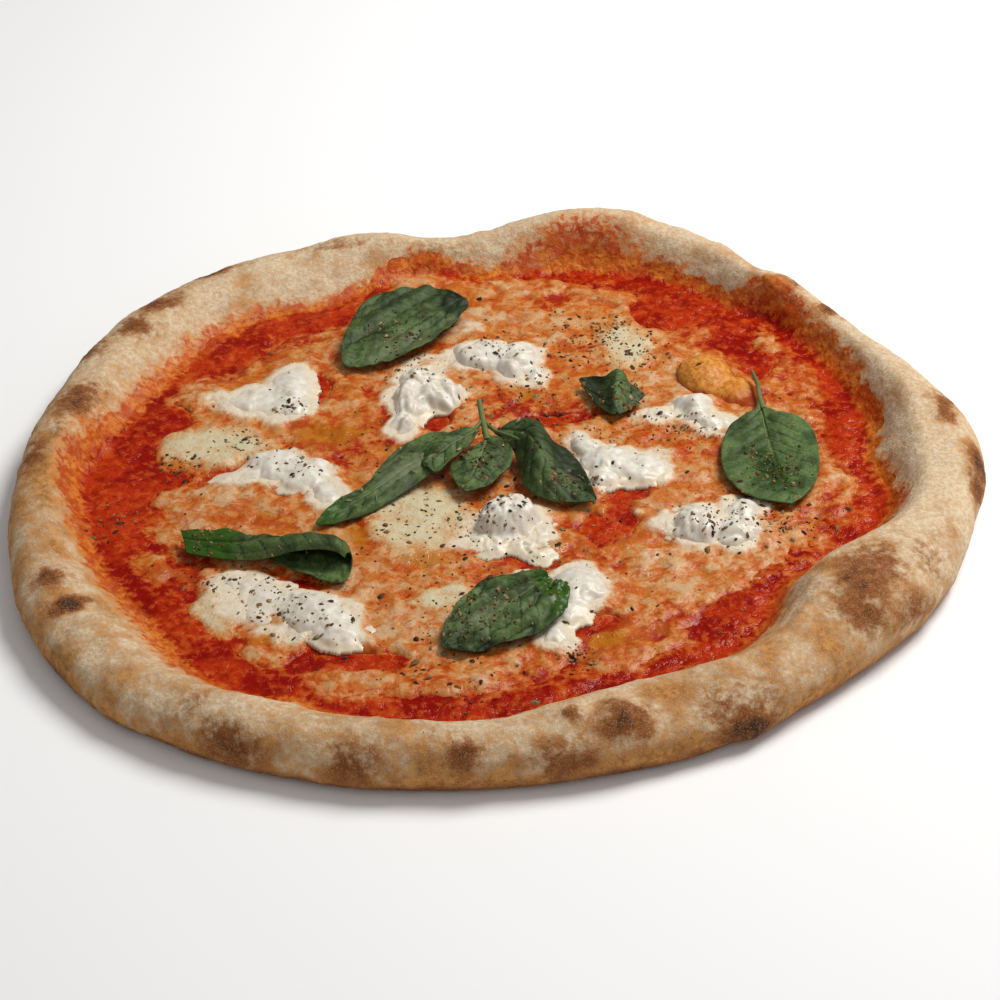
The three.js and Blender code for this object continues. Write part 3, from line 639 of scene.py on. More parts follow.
def crust_profile():
    """Base points of the crust, rings by rays, from the middle of the underside out, over and in."""
    rings = []
    contact = OUTER - CONTACT_INSET

    def ring(radius, height):
        rings.append(np.stack([radius * COS, radius * SIN, np.broadcast_to(height, RAYS)], axis=-1))

    for share in UNDER_RINGS:
        ring(contact * share, 0.0)
    belly = BELLY_SHARE * HEIGHT
    for step in range(LOWER_STEPS):
        turn = math.radians(-90 + 90 * step / LOWER_STEPS)
        reach = max(math.cos(turn), 0) ** BELLY_FULLNESS
        ring(OUTER - CONTACT_INSET * (1 - reach), belly * (1 + math.sin(turn)))
    for step in range(UPPER_STEPS):
        turn = math.radians(90 * step / UPPER_STEPS)
        reach = math.cos(turn) ** BELLY_FULLNESS
        ring(OUTER - (OUTER - CREST) * (1 - reach), belly + (HEIGHT - belly) * math.sin(turn))
    for step in range(SLOPE_STEPS + 1):
        share = step / SLOPE_STEPS
        fall = 0.5 + 0.5 * math.cos(math.pi * share)
        ring(CREST + (FOOT - CREST) * share, DOUGH_THICKNESS + (HEIGHT - DOUGH_THICKNESS) * fall)
    for share in PLATEAU_RINGS:
        ring(FOOT * share, DOUGH_THICKNESS)
    return np.array(rings)


def crust_points():
    base = crust_profile()
    normals = grid_normals(base)
    places = base.reshape(-1, 3)
    lumps = noises(places, (0.9, 24, 1), (0.55, 10, 2)) + 0.3 * fbm(places, 4.5, 3, 3)
    lumps = lumps.reshape(base.shape[:2])
    height = base[:, :, 2]
    free = smooth(height, 0.0, 2.5)
    slope = np.zeros(len(base))
    slope[SLOPE_START:] = np.minimum(np.arange(len(base) - SLOPE_START) / SLOPE_STEPS, 1.0)
    calm = (1 - smooth(slope, 0.55, 0.95))[:, None]
    points = base + normals * (lumps * free * calm)[:, :, None]
    tree = tree_of(points.reshape(-1, 3), ring_faces(len(points), RAYS))
    for x, y, spread, rise in CRUST_BUMPS:
        middle = np.array(seen(tree, x, y))
        away = np.linalg.norm(points - middle, axis=-1)
        points = points + normals * (rise * bell(away, spread) * free * calm)[:, :, None]
    points[:, :, 2] = np.maximum(points[:, :, 2], 0.0)
    return points


CRUST_GRID = crust_points()
CRUST_FACES = ring_faces(len(CRUST_GRID), RAYS)
CRUST_TREE = tree_of(CRUST_GRID.reshape(-1, 3), CRUST_FACES)


def inner_height(radius):
    """Height of the dough at each ray's radii, inside the crest. radius is rings by rays."""
    grid = CRUST_GRID[SLOPE_START:]
    reach = np.hypot(grid[:, :, 0], grid[:, :, 1])[::-1]
    height = grid[:, :, 2][::-1]
    out = np.empty_like(radius)
    for ray in range(RAYS):
        out[:, ray] = np.interp(radius[:, ray], reach[:, ray], height[:, ray])
    return out


# How far the sauce's colour spreads up the bare dough: direction, spread and extra width
STAIN_SWELLS = [
    (76, 10, 17), (108, 12, -2), (142, 20, 5), (175, 18, 5), (215, 18, 6), (30, 14, 3), (52, 7, -3),
    (41, 5, 2.5), (342, 12, 4),
]


# Where the outside of the rim is darker all over, partly baked and partly painted shade: direction,
# spread and amount. The left side, turned away from the light, gets the most painted shade.
TAN_AND_SHADE_SWELLS = [
    (182, 26, 0.75), (225, 25, 0.3), (270, 30, 0.6), (312, 20, 0.6), (350, 14, -0.2),
]


STAIN_WIDTH = 4.5 + swell(STAIN_SWELLS, ANGLES)
STAIN_FADE = (SLOPE_START - 12, SLOPE_START + 4)    # the rings where the stain may begin


def stain_share(points):
    """How much sauce has soaked the bare dough past its edge."""
    radius = np.hypot(CRUST_GRID[:, :, 0], CRUST_GRID[:, :, 1])
    inwards = smooth(np.arange(len(CRUST_GRID))[:, None], *STAIN_FADE)
    ragged = noises(points, (2.5, 6, 21), (1.5, 2.5, 22)).reshape(radius.shape)
    stain = 1.4 * (1 - (radius - SAUCE_RADIUS + ragged) / STAIN_WIDTH)
    return (inwards * np.clip(stain, 0, 1.1)).ravel()


def baked_shares(points):
    """How tanned and how brown each place of the crust is. Both also hold painted shade low on the
    outside of the rim, most towards the front, and the tan holds it on the left side too.
    """
    x, y, z = points.T
    angle = np.degrees(np.arctan2(y, x)) % 360
    front = bell(turn_between(angle, 240), 90)
    # The outside is darker low down, most towards the front: partly baked colour and partly painted
    # shade.
    low = 1 - smooth(z, 3.0, 9.0 + 7.0 * front)
    outside = np.repeat(np.arange(len(CRUST_GRID)) < SLOPE_START - UPPER_STEPS // 2, RAYS)
    cloudy = fbm(points, 16, 3, 31)
    tan_and_shade = 0.15 + 0.6 * cloudy + swell(TAN_AND_SHADE_SWELLS, angle) + np.where(outside, 0.7 * low, 0)
    # Its foot is browner, most towards the front: partly baked colour and partly painted shade.
    foot = np.where(outside, (0.3 + 0.45 * front) * (1 - smooth(z, 1.0, 8.0)), 0)
    brown = 0.3 * smooth(cloudy, 0.2, 0.9) * outside + foot
    wx, wy = x + 2.5 * noise(points, 7, 41), y + 2.5 * noise(points, 7, 42)
    for px, py, long, wide, turn, strength in BROWN_SPOTS:
        middle = seen(CRUST_TREE, px, py)
        # the plan foreshortens what stands up, so a spot is as tall as it is wide
        share = ellipse_share(wx, wy, (middle.x, middle.y, long + 1.5, wide + 1.5, turn))
        share = np.hypot(share, (z - middle.z) / (0.9 * min(long, wide) + 3))
        brown = np.maximum(brown, strength * bell(share, 1.0))
        tan_and_shade = np.maximum(tan_and_shade, 0.9 * strength * bell(share, 1.7))
    return tan_and_shade, brown


def make_crust():
    points = CRUST_GRID.reshape(-1, 3)
    tan_and_shade, brown = baked_shares(points)
    values = {"stain": stain_share(points), "tan_and_shade": tan_and_shade, "brown": brown}
    values = {key: np.append(value, [0, 0]) for key, value in values.items()}
    faces = CRUST_FACES + fan(len(points), 0, RAYS, False)
    faces += fan(len(points) + 1, len(points) - RAYS, RAYS, True)
    points = np.vstack([points, [[0, 0, 0], [0, 0, DOUGH_THICKNESS]]])
    piece = new_mesh("crust", points, faces, CRUST, values)
    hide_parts("dough_base")


make_crust()

# ---- the sauce

SAUCE_RINGS = 120
SAUCE_OVERLAP = 5.0    # how far the sauce's sheet runs under the surface of the bare slope
SAUCE_DEPTH = 1.2    # how far its closed underside lies below the dough's surface
SAUCE_EDGE = 3.5    # how far in from its edge the sauce is nearly full
# The bank of sauce next to the rim: how far in from the edge, how wide and how high
BANK_INSET = 9
BANK_SPREAD = 7
BANK_RISE = 0.9
# Places where the sauce shows through the cheese
RED_PATCHES = [
    (-100, 92, 12, 15, -35), (-72, 108, 18, 10, 10), (-122, 40, 12, 8, 30), (-115, 5, 8, 4, 0),
    (40, -30, 5, 10, -10), (95, 60, 5, 10, 0), (60, 100, 6, 10, 0), (-50, -98, 14, 4, 0),
    (124, 20, 8, 20, 0), (-127, 5, 6, 28, 0), (75, -80, 14, 6, 35), (25, -86, 10, 4, 0),
    (33, -36, 6, 9, 20), (43, -17, 8, 4, 20), (8, -51, 9, 5, -15), (-93, 9, 14, 3.5, 25),
    (-22, 33, 5, 4, 60), (20, 29, 14, 2.5, 10), (65, 95, 9, 7, 0), (90, 78, 6, 16, 10),
    (-63, 58, 2.5, 8, 0), (-67, -57, 8, 3, 0), (-55, -92, 8, 4, 0),
]
# Thin pinkish cheese lying on the sauce outside the main sheet
CHEESE_TONGUES = [
    (-108, 58, 11, 9, 40), (-88, 103, 4, 8, 20), (-28, 130, 9, 7, 0), (12, 121, 26, 6, -8),
    (45, 110, 12, 5, -25), (100, 76, 6, 10, 0), (88, 92, 4, 7, 0), (40, -103, 14, 5, 15),
    (-20, -112, 18, 5, 0), (-50, -108, 16, 8, -15), (-77, -94, 8, 5, -35), (113, -20, 6, 12, 0),
    (-118, -45, 6, 10, 20),
]


def sauce_lumps(x, y):
    return plan_noise(x, y, (0.5, 9, 51), (0.38, 4, 52), (0.2, 2, 53))


def share_of(places, x, y):
    """1 inside the named ellipses, falling to 0 outside."""
    total = np.zeros_like(x)
    for ellipse in places:
        size = min(ellipse[2:4])
        away = (ellipse_share(x, y, ellipse) - 1) * size
        total = np.maximum(total, 1 - smooth(away, -max(0.4 * size, 2.5), max(0.5 * size, 3.0)))
    return total


def wandered(x, y):
    """The wandering that patches of the cheese share."""
    return warped(x, y, 12, 3, 71)


def cheese_spread(x, y):
    """How far the cheese reaches: above 0 where it lies, and below 0 on the bare sauce."""
    angle = np.degrees(np.arctan2(y, x)) % 360
    edge = CHEESE_RADIUS + swell(CHEESE_SWELLS, angle)
    inside = np.clip((edge - np.hypot(x, y)) / 14, -1.2, 1.0)
    patches = plan_noise(x, y, (0.5, 10, 73), (0.35, 4.5, 74), (0.2, 2.2, 75))
    wx, wy = wandered(x, y)
    bare = 1.8 * share_of(RED_PATCHES, wx, wy) - 1.1 * share_of(CHEESE_TONGUES, wx, wy)
    return 0.75 * inside + patches - bare


def make_sauce():
    """The sauce's sheet, closed by a coarser underside. Returns its top as a tree."""
    share = np.linspace(0.02, 1, SAUCE_RINGS)[:, None]
    radius = share * (SAUCE_RADIUS + SAUCE_OVERLAP)
    x, y = radius * COS, radius * SIN
    dough = inner_height(radius)
    ragged = plan_noise(x, y, (2.2, 7, 61), (1.2, 3, 62))
    depth = SAUCE_RADIUS + ragged - radius
    body = (SAUCE_TOP - DOUGH_THICKNESS) * (1 - np.exp(-np.maximum(depth, 0) / SAUCE_EDGE))
    lumps = sauce_lumps(x, y) * smooth(depth, 0, 8)
    rise = np.where(depth > 0, body + lumps, np.maximum(depth * 0.4, -0.6))
    z = dough + rise + BANK_RISE * bell((depth - BANK_INSET) / BANK_SPREAD, 1)
    thin = 1 - smooth(depth, -0.5, 6) + 0.15 * ragged
    top = np.stack([x, y, z], axis=-1).reshape(-1, 3)
    under = np.arange(SAUCE_RINGS - 1, 0, -9)
    lower = np.stack([x[under], y[under], dough[under] - SAUCE_DEPTH], axis=-1).reshape(-1, 3)
    points = np.vstack([top, lower, [[0, 0, DOUGH_THICKNESS - SAUCE_DEPTH], [0, 0, SAUCE_TOP]]])
    faces = [tuple(reversed(face)) for face in ring_faces(SAUCE_RINGS + len(under), RAYS)]
    faces += fan(len(points) - 2, (SAUCE_RINGS + len(under) - 1) * RAYS, RAYS, False)
    faces += fan(len(points) - 1, 0, RAYS, True)
    values = {"thin": thin, "creamy": smooth(cheese_spread(x, y), -1.0, 0.4)}
    values = {key: np.append(value.ravel(), np.ones(len(lower) + 2)) for key, value in values.items()}
    piece = new_mesh("sauce", points, faces, SAUCE, values)
    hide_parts("tomato_sauce")
    return tree_of(top, ring_faces(SAUCE_RINGS, RAYS))


SAUCE_TREE = make_sauce()

# ---- the burrata

BURRATA_BOTTOM = CHEESE_BOTTOM + GAP + 0.1
BURRATA = {
    "burrata_left_back": [
        (-73, 57, 8, 14, 0, 3.8), (-86, 51, 11, 9, 20, 2.6), (-74, 45, 9, 8, 0, 3.2),
    ],
    "burrata_middle_back": [
        (-20, 47, 9, 9, 0, 5.5), (-30, 46, 8, 12, 0, 5.5), (-33, 31, 5, 8, -10, 4),
        (-27, 58, 9, 8, 0, 3.5),
    ],
    "burrata_back": [
        (-2, 72, 13, 9, -10, 4.5), (9, 67, 8, 12, -15, 5.5), (15, 57, 4, 6, 0, 3),
    ],
    "burrata_right_back": [
        (70, 30, 7, 8, 0, 5.5), (77, 20, 7, 6, 0, 3), (60, 29, 8, 3.5, 10, 2),
    ],
    "burrata_middle_right": [
        (38, 0, 10, 9, 30, 4.5), (48, -4, 10, 9, 0, 2.5), (31, 10, 5, 8, 25, 5),
        (35, -9, 5, 5, 0, 3.5),
    ],
    "burrata_right": [
        (65, -38, 9, 10, 0, 6), (77, -43, 7.5, 9, -20, 4.5), (80.5, -31, 7, 7, 10, 3.2),
        (56, -36, 6, 4, 10, 1.5),
    ],
    "burrata_centre": [
        (2.5, -31, 12, 9.5, 10, 9), (-1, -41, 11, 6, 0, 1.2), (9, -45, 8, 5, -20, 1.0),
        (13.5, -39, 3, 9, 0, 0.8),
    ],
    "burrata_front": [
        (24, -68, 9, 11, 15, 4.5), (20, -80, 7, 7, 0, 3), (14.5, -90.5, 5, 8, 15, 3),
    ],
    "burrata_left": [
        (-76, 8, 11, 9, -30, 3.2), (-66, 2, 9, 9, -40, 3.5), (-87, 4, 9, 4, 5, 1.6),
        (-59, -9, 5, 8, 10, 3),
    ],
    "burrata_left_front": [
        (-60, -76, 15, 9.5, -42, 4.8), (-53, -86, 8, 6, -25, 3.8), (-84, -58, 11, 6, -8, 1.6),
        (-78, -68, 10, 9, 0, 1.4),
    ],
}
BURRATA_STEP = 0.5
CLOT_MARGIN = 5    # how far a clot's grid reaches past its lumps
CLOT_SKIRT = 0.6    # how far its thin edge dips below the solid's underside
CLOT_SINK = 1.2    # how far its closed underside does
CLOT_BLEND = 1.6     # how softly the outlines of a clot's lumps join
DOME_BLEND = 0.7     # how softly their domes join
# How strongly each clot is creased, ridged and curdled, and how far in from its edge it rounds up
CLOT_RELIEF = {
    "burrata_left_back": (0.9, 0.2, 0.3, 4.5),
    "burrata_middle_back": (2.8, 0.8, 0.8, 2.6),
    "burrata_back": (1.8, 0.5, 0.5, 3.0),
    "burrata_right_back": (1.6, 0.5, 0.4, 2.8),
    "burrata_middle_right": (0.9, 0.3, 0.5, 3.5),
    "burrata_right": (2.0, 0.7, 0.3, 2.8),
    "burrata_centre": (1.0, 0.2, 1.5, 2.6),
    "burrata_front": (0.8, 0.2, 0.3, 3.5),
    "burrata_left": (0.8, 0.25, 0.3, 3.2),
    "burrata_left_front": (0.8, 0.25, 0.3, 4.0),
}


def clot_height(lumps, x, y, edge):
    """Height of the joined domes above the cheese, and depth inside the outline; below 0 outside."""
    reach, rise = np.zeros_like(x), np.zeros_like(x)
    for *ellipse, height in lumps:
        inside = (1 - ellipse_share(x, y, ellipse)) * min(ellipse[2:4])
        dome = height * (1 - np.exp(-np.maximum(inside, 0) / edge)) + 0.5 * np.minimum(inside, 0)
        reach += np.exp(np.clip(inside / CLOT_BLEND, -20, 20))
        rise += np.exp(np.clip(dome / DOME_BLEND, -20, 20))
    return DOME_BLEND * np.log(rise + 1e-8), CLOT_BLEND * np.log(reach + 1e-8)


def main_island(keep, height):
    """The part of the kept cells that hangs together with the highest one."""
    island = np.zeros_like(keep)
    island[np.unravel_index(np.argmax(height), height.shape)] = True
    while True:
        wider = island.copy()
        wider[1:] |= island[:-1]
        wider[:-1] |= island[1:]
        wider[:, 1:] |= island[:, :-1]
        wider[:, :-1] |= island[:, 1:]
        wider &= keep
        if np.array_equal(wider, island):
            return island
        island = wider


def clot_grid(lumps):
    """A plan grid that holds all of a clot's lumps."""
    boxes = np.array([(px, py, max(long, wide)) for px, py, long, wide, _turn, _height in lumps])
    low = (boxes[:, :2] - boxes[:, 2:]).min(axis=0) - CLOT_MARGIN
    high = (boxes[:, :2] + boxes[:, 2:]).max(axis=0) + CLOT_MARGIN
    return np.meshgrid(*(np.arange(low[axis], high[axis], BURRATA_STEP) for axis in (0, 1)))


def make_burrata(name, lumps, seed):
    """One clot: joined domes with folds, waves and curds, and thin where it runs out."""
    x, y = clot_grid(lumps)
    wx, wy = warped(*warped(x, y, 8, 2.4, seed), 3.2, 1.0, seed + 2)
    creased, ridged, curdy, edge = CLOT_RELIEF[name]
    height, depth = clot_height(lumps, wx, wy, edge)
    fx, fy = warped(x, y, 12, 5.0, seed + 8)
    folds = np.abs(plan_noise(fx, fy * 0.7, (1, 7.5, seed + 4))) ** 0.7
    waves = np.abs(plan_noise(fx, fy * 0.35, (1, 4.2, seed + 5))) ** 0.8
    curds = plan_noise(wx, wy, (0.55, 3.0, seed + 6), (0.3, 1.5, seed + 7))
    relief = creased * (folds - 0.4) + ridged * (waves - 0.35) + curdy * curds
    height = height + relief * smooth(depth, -0.5, 2.5)
    top = np.maximum(CHEESE_BOTTOM + CHEESE_THICKNESS + height, BURRATA_BOTTOM - CLOT_SKIRT)
    keep = main_island(height > -1.0, height)
    points, faces, used = plan_sheet(x, y, top, BURRATA_BOTTOM - CLOT_SINK, keep)
    thin = 1 - smooth(height.ravel()[used], 0.0, 2.2)
    # Where the folds dip, for the painted shade in the material.
    shaded_valley = (1 - smooth(folds.ravel()[used], 0.0, 0.35)) * min(creased / 2.5, 1.0)
    values = {"fold_shade": np.tile(0.7 * shaded_valley, 2), "thin": np.tile(thin, 2)}
    piece = new_mesh("clot_" + name[8:], points, faces, BURRATA_WHITE, values)
    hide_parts(name)
    return points, faces


CLOTS = {}
for number, (name, lumps) in enumerate(BURRATA.items()):
    CLOTS[name] = make_burrata(name, lumps, 100 + 10 * number)

# ---- the melted cheese

CHEESE_STEP = 1.0
CHEESE_MARGIN = 20    # how far past its mean radius the cheese may run
CHEESE_SINK = 1.0    # how far its closed underside lies below the sauce's top
MILK_REACH = 4.0    # how far milk runs out from the clots
CHEESE_POOLS = [
    (-100, 23, 18, 10, -8), (-27, -26, 17, 18, 0), (-92, -71, 10, 11, 0), (50, 74, 9, 13, 0),
    (-20, -70, 9, 6, 0),
]
# Creamier places, and more orange ones with a minus: place, half sizes, turn and amount
CHEESE_TINTS = [
    (-103, 30, 20, 14, 0, 0.5), (-115, -12, 12, 22, 0, 0.25), (-85, -22, 14, 8, 0, 0.15),
    (-45, -55, 26, 10, 0, 0.35), (-30, -82, 16, 14, 0, 0.35), (30, 98, 32, 18, 0, 0.1),
    (52, 75, 12, 18, 0, 0.35), (58, -65, 26, 11, 0, 0.3), (95, -52, 14, 12, -50, 0.15),
    (105, -25, 8, 14, 0, 0.1), (-12, 30, 10, 10, 0, 0.25), (-2, 96, 10, 8, 0, 0.3),
    (50, -28, 9, 7, 0, 0.25), (60, 46, 8, 9, 0, 0.2), (-55, 10, 20, 26, 0, -0.2),
    (-62, 28, 14, 8, 0, -0.3), (-32, 26, 16, 14, 0, -0.35), (10, 36, 24, 10, 0, -0.35),
    (62, 10, 16, 9, 0, -0.3), (-48, -32, 6, 12, 0, -0.35), (-5, -58, 16, 5, 0, -0.3),
    (28, -95, 14, 8, 0, -0.35), (-85, 37, 18, 5, 0, -0.3), (-82, -22, 16, 3, -10, -0.35),
    (35, -45, 12, 14, 0, -0.35), (95, 45, 10, 20, 0, -0.2), (-30, -100, 28, 9, 0, 0.2),
    (-98, -12, 18, 14, 0, 0.2), (110, -28, 10, 16, 0, -0.25), (-45, 38, 12, 10, 0, -0.15),
]
# Thin milk from the clots: place, half sizes, turn and strength
MILK_SPLASHES = [
    (-98, 52, 8, 6, 0, 0.8), (-22, 68, 16, 8, 0, 0.8), (-8, 92, 8, 6, 0, 0.6),
    (58, 32, 8, 4, 10, 0.8), (54, 3, 7, 8, 0, 0.9), (55, -32, 5, 5, 0, 0.9),
    (62, -50, 10, 4, 0, 0.7), (88, -45, 6, 7, 0, 0.5), (-8, -34, 8, 10, 0, 0.9),
    (4, -46, 15, 6, -10, 1.0), (14, -40, 3, 7, -10, 0.9), (8, -57, 10, 3, 20, 0.8),
    (30, -78, 4, 5, 0, 0.7), (-92, 10, 8, 5, 0, 0.6), (-84, -72, 14, 9, -20, 0.9),
    (-70, -84, 14, 6, -15, 0.9), (45, -28, 3, 3, 0, 0.8), (40, -33, 3, 2, 0, 0.6),
    (50, -52, 5, 4, 0, 0.6),
]
OIL_POOLS = [
    (-58, 27, 12, 5, 0), (-48, -36, 4, 7, 30), (-76, -76, 6, 4, 0), (-77, -86, 5, 2.5, 0),
    (-25, -48, 9, 4, 0), (12, 46, 4, 4, 0), (84, 17, 8, 2.5, 15), (17, -48, 5, 5, 0),
    (30, -95, 6, 4, 0),
]


def burrata_share(x, y, grow):
    """1 under the clots, falling to 0 the given distance away from them."""
    total = np.zeros_like(x)
    for lumps in BURRATA.values():
        for *ellipse, _height in lumps:
            away = (ellipse_share(x, y, ellipse) - 1) * min(ellipse[2:4])
            total = np.maximum(total, 1 - smooth(away, 0.0, grow))
    return total


def creaminess(x, y, wx, wy, body):
    """How pale the cheese is, from 0 where it is thin and orange."""
    cloudy = fbm(flat(x, y), 15, 2, 78).reshape(x.shape)
    cream = 0.27 + 0.34 * np.clip(body, 0, 1.2) + 0.34 * cloudy
    cream = cream - 0.45 * (1 - smooth(body, -0.25, 0.45))
    for *ellipse, amount in CHEESE_TINTS:
        cream = cream + amount * bell(ellipse_share(wx, wy, ellipse), 1.0)
    return cream


def make_cheese():
    """The cheese's sheet, torn open where cheese_spread() and the pools leave it thin."""
    reach = CHEESE_RADIUS + CHEESE_MARGIN
    count = int(2 * reach / CHEESE_STEP) + 1
    line = np.linspace(-reach, reach, count)
    x, y = np.meshgrid(line, line)
    wx, wy = wandered(x, y)
    pool = share_of(CHEESE_POOLS, wx, wy)
    milk = burrata_share(wx, wy, MILK_REACH)
    for *ellipse, amount in MILK_SPLASHES:
        milk = np.maximum(milk, amount * (1 - smooth(ellipse_share(wx, wy, ellipse), 0.4, 1.3)))
    body = cheese_spread(x, y) + 1.0 * pool + 0.8 * milk
    pool, milk = pool * smooth(body, 0.1, 0.8), milk * smooth(body, 0.1, 0.8)
    thick = np.clip(body + 0.15, -0.4, 1.6)
    thick = 1.5 * thick * np.where(thick > 0, smooth(thick, -0.3, 0.6), 1)
    swelling = plan_noise(x, y, (0.45, 6, 76), (0.25, 2.6, 77)) * (1 - 0.75 * np.maximum(pool, milk))
    z = SAUCE_TOP + sauce_lumps(x, y) * 0.6 + thick + np.where(thick > 0, swelling, 0)
    keep = (thick > -0.55) & (np.hypot(x, y) < reach + 2)
    points, quads, used = plan_sheet(x, y, z, SAUCE_TOP - CHEESE_SINK, keep)
    cream = creaminess(x, y, wx, wy, body)
    values = {"cream": cream, "pool": pool, "milk": milk, "oil": share_of(OIL_POOLS, wx, wy)}
    values = {key: np.tile(value.ravel()[used], 2) for key, value in values.items()}
    piece = new_mesh("cheese", points, quads, CHEESE, values)
    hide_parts("melted_mozzarella")
    return tree_of(points, quads)


CHEESE_TREE = make_cheese()

# ---- the golden dough bubble


def remeshed(name, points, faces, voxel):
    """The joined outer skin of overlapping closed meshes, as points, normals and faces."""
    mesh = bpy.data.meshes.new(name)
    mesh.from_pydata((np.array(points) * MM).tolist(), [], faces)
    rough = placed(name, mesh)
    change = rough.modifiers.new("skin", "REMESH")
    change.mode = "VOXEL"
    change.voxel_size = voxel * MM
    soft = rough.modifiers.new("soft", "SMOOTH")
    soft.iterations = BUBBLE_SMOOTHINGS
    soft.factor = 0.5
    evaluated = rough.evaluated_get(bpy.context.evaluated_depsgraph_get())
    skin = bpy.data.meshes.new_from_object(evaluated)
    places, normals = np.empty((2, len(skin.vertices) * 3))
    skin.vertices.foreach_get("co", places)
    skin.vertex_normals.foreach_get("vector", normals)
    polygons = [tuple(polygon.vertices) for polygon in skin.polygons]
    bpy.data.objects.remove(rough)
    bpy.data.meshes.remove(mesh)
    bpy.data.meshes.remove(skin)
    return places.reshape(-1, 3) / MM, normals.reshape(-1, 3), polygons


# The bubble's dome and the two lumps of its tail: place and half sizes
BUBBLE_LUMPS = [((76, 52, 3), (11, 13, 9.5)), ((86, 41, 3), (9.5, 10, 6)), ((91, 34, 3), (7, 7, 4.6))]
BUBBLE_RAYS = 48
BUBBLE_STEPS = 24
BUBBLE_VOXEL = 0.7
BUBBLE_SMOOTHINGS = 16


def bubble_rings(place, size):
    """Rings of points over a lump, from its nearly flat underside up."""
    tilt = math.pi * (np.arange(BUBBLE_STEPS + 1)[:, None] / BUBBLE_STEPS - 0.5)
    around = 2 * math.pi * np.arange(BUBBLE_RAYS) / BUBBLE_RAYS
    reach = np.maximum(np.cos(tilt), 0.01)
    rise = np.sin(tilt) * np.where(tilt > 0, 1, 0.1)
    sides = reach * np.cos(around), reach * np.sin(around), rise
    return (np.stack(np.broadcast_arrays(*sides), axis=-1) * size + place).reshape(-1, 3)


def make_bubble():
    points, faces = [], []
    for place, size in BUBBLE_LUMPS:
        first, top = len(points), len(points) + BUBBLE_STEPS * BUBBLE_RAYS
        points += bubble_rings(place, size).tolist()
        sides = ring_faces(BUBBLE_STEPS + 1, BUBBLE_RAYS)
        faces += [tuple(first + corner for corner in face) for face in sides]
        faces.append(tuple(reversed(range(first, first + BUBBLE_RAYS))))
        faces.append(tuple(range(top, top + BUBBLE_RAYS)))
    points, normals, faces = remeshed("bubble", points, faces, BUBBLE_VOXEL)
    points = points + normals * noises(points, (0.5, 6, 91), (0.2, 2.5, 92))[:, None]
    stain = 0.2 + 0.5 * noise(points, 6, 93) + 0.7 * (1 - smooth(points[:, 2], 6.0, 8.5))
    stain = stain + 0.4 * smooth(points[:, 0] - points[:, 1], 42, 52)
    new_mesh("dough_bubble", points, faces, GOLDEN, {"stain": stain})
    return tree_of(points, faces)


BUBBLE_TREE = make_bubble()

# ---- the basil

# Each leaf is a midrib from its base to its tip, the outline of its left and right sides, as
# places along the midrib from 0 to 1 and distances from it, the lift of the two edges, and how
# strongly it is creased
BASIL_LEAVES = {
    "basil_back_leaf": [(
        [(-9.5, 104.5, 12.5), (-24, 92, 12), (-40, 78, 10.5), (-54, 67, 8.7)],
        [(0, 0), (0.06, 5), (0.22, 9), (0.38, 12.5), (0.6, 12.8), (0.78, 9), (0.9, 4.5), (1, 0)],
        [
            (0, 0), (0.08, 9), (0.19, 17), (0.32, 22), (0.45, 23.5),
            (0.62, 20), (0.82, 11.5), (0.95, 4), (1, 0),
        ],
        (0, 2.5),
        1.4,
    )],
    "basil_right_leaf": [(
        [(93.4, 29, 10), (93.5, 9, 9.3), (95, -14, 9.0), (97, -32.5, 9.4)],
        [(0, 0.7), (0.11, 1.4), (0.17, 5), (0.23, 12), (0.38, 16), (0.62, 14.5), (0.83, 9), (1, 0)],
        [(0, 0.7), (0.11, 2), (0.17, 7), (0.27, 13), (0.48, 17.6), (0.68, 18), (0.86, 12.5), (1, 0)],
        (1.2, 0.6),
        0.3,
    )],
    "basil_sprig": [
        (
            [(-12, 10, 13), (-28, -1, 12.5), (-47, -18, 10), (-62, -29, 8.8)],
            [(0, 0), (0.25, 5), (0.38, 8), (0.7, 6.2), (0.86, 4), (1, 0)],
            [(0, 0), (0.1, 6.8), (0.25, 8.8), (0.4, 8), (0.6, 3.5), (0.78, 4.2), (1, 0)],
            (-1.5, 1.5),
            0.9,
        ),
        (
            [(-6, 14, 14), (-16, 4, 15), (-25, -5, 13)],
            [(0, 0), (0.45, 6), (0.75, 6), (1, 6), (1.02, 0)],
            [(0, 0), (0.2, 5.5), (0.6, 7.6), (0.88, 4), (1, 0)],
            (0.5, -1.0),
            0.8,
        ),
        (
            [(-3, 11, 13.5), (-6, -2, 13.5), (-11.5, -18.5, 11.5)],
            [(0, 0), (0, 5.5), (0.2, 9), (0.5, 11), (0.68, 9), (0.84, 6), (1, 0)],
            [(0, 0), (0.4, 3.5), (0.62, 9), (0.8, 6), (1, 0)],
            (-1.0, -0.5),
            0.8,
        ),
    ],
    "basil_front_leaf": [(
        [(12.5, -72, 13.3), (2, -80.5, 12), (-10, -90, 10), (-20.5, -97.5, 8.8)],
        [(-0.06, 0), (-0.1, 8), (0.12, 15), (0.35, 16), (0.57, 12.5), (0.76, 9), (0.88, 5), (1, 0)],
        [(-0.06, 0), (-0.06, 3), (0.12, 8.5), (0.3, 13.5), (0.5, 13.5), (0.74, 9.5), (0.87, 5), (1, 0)],
        (-1.0, 1.0),
        1.6,
    )],
}
STEMS = {
    "basil_right_leaf": [([(94, 23, 10), (93.5, 31, 10), (93.7, 39, 10.3), (92.5, 46, 11)], 0.9)],
    "basil_sprig": [
        ([(-3.2, 8, 13.2), (-4.3, 17, 14.3), (-5, 23, 15.5), (-5.5, 28, 16.5)], 1.1),
        ([(-4.5, 19, 14.5), (-7.5, 14, 14), (-11, 12, 13.5), (-14, 10, 13)], 0.8),
        ([(-4.2, 18, 14.5), (0, 12, 14), (5, 8, 14.5), (10, 3, 15)], 0.8),
    ],
}
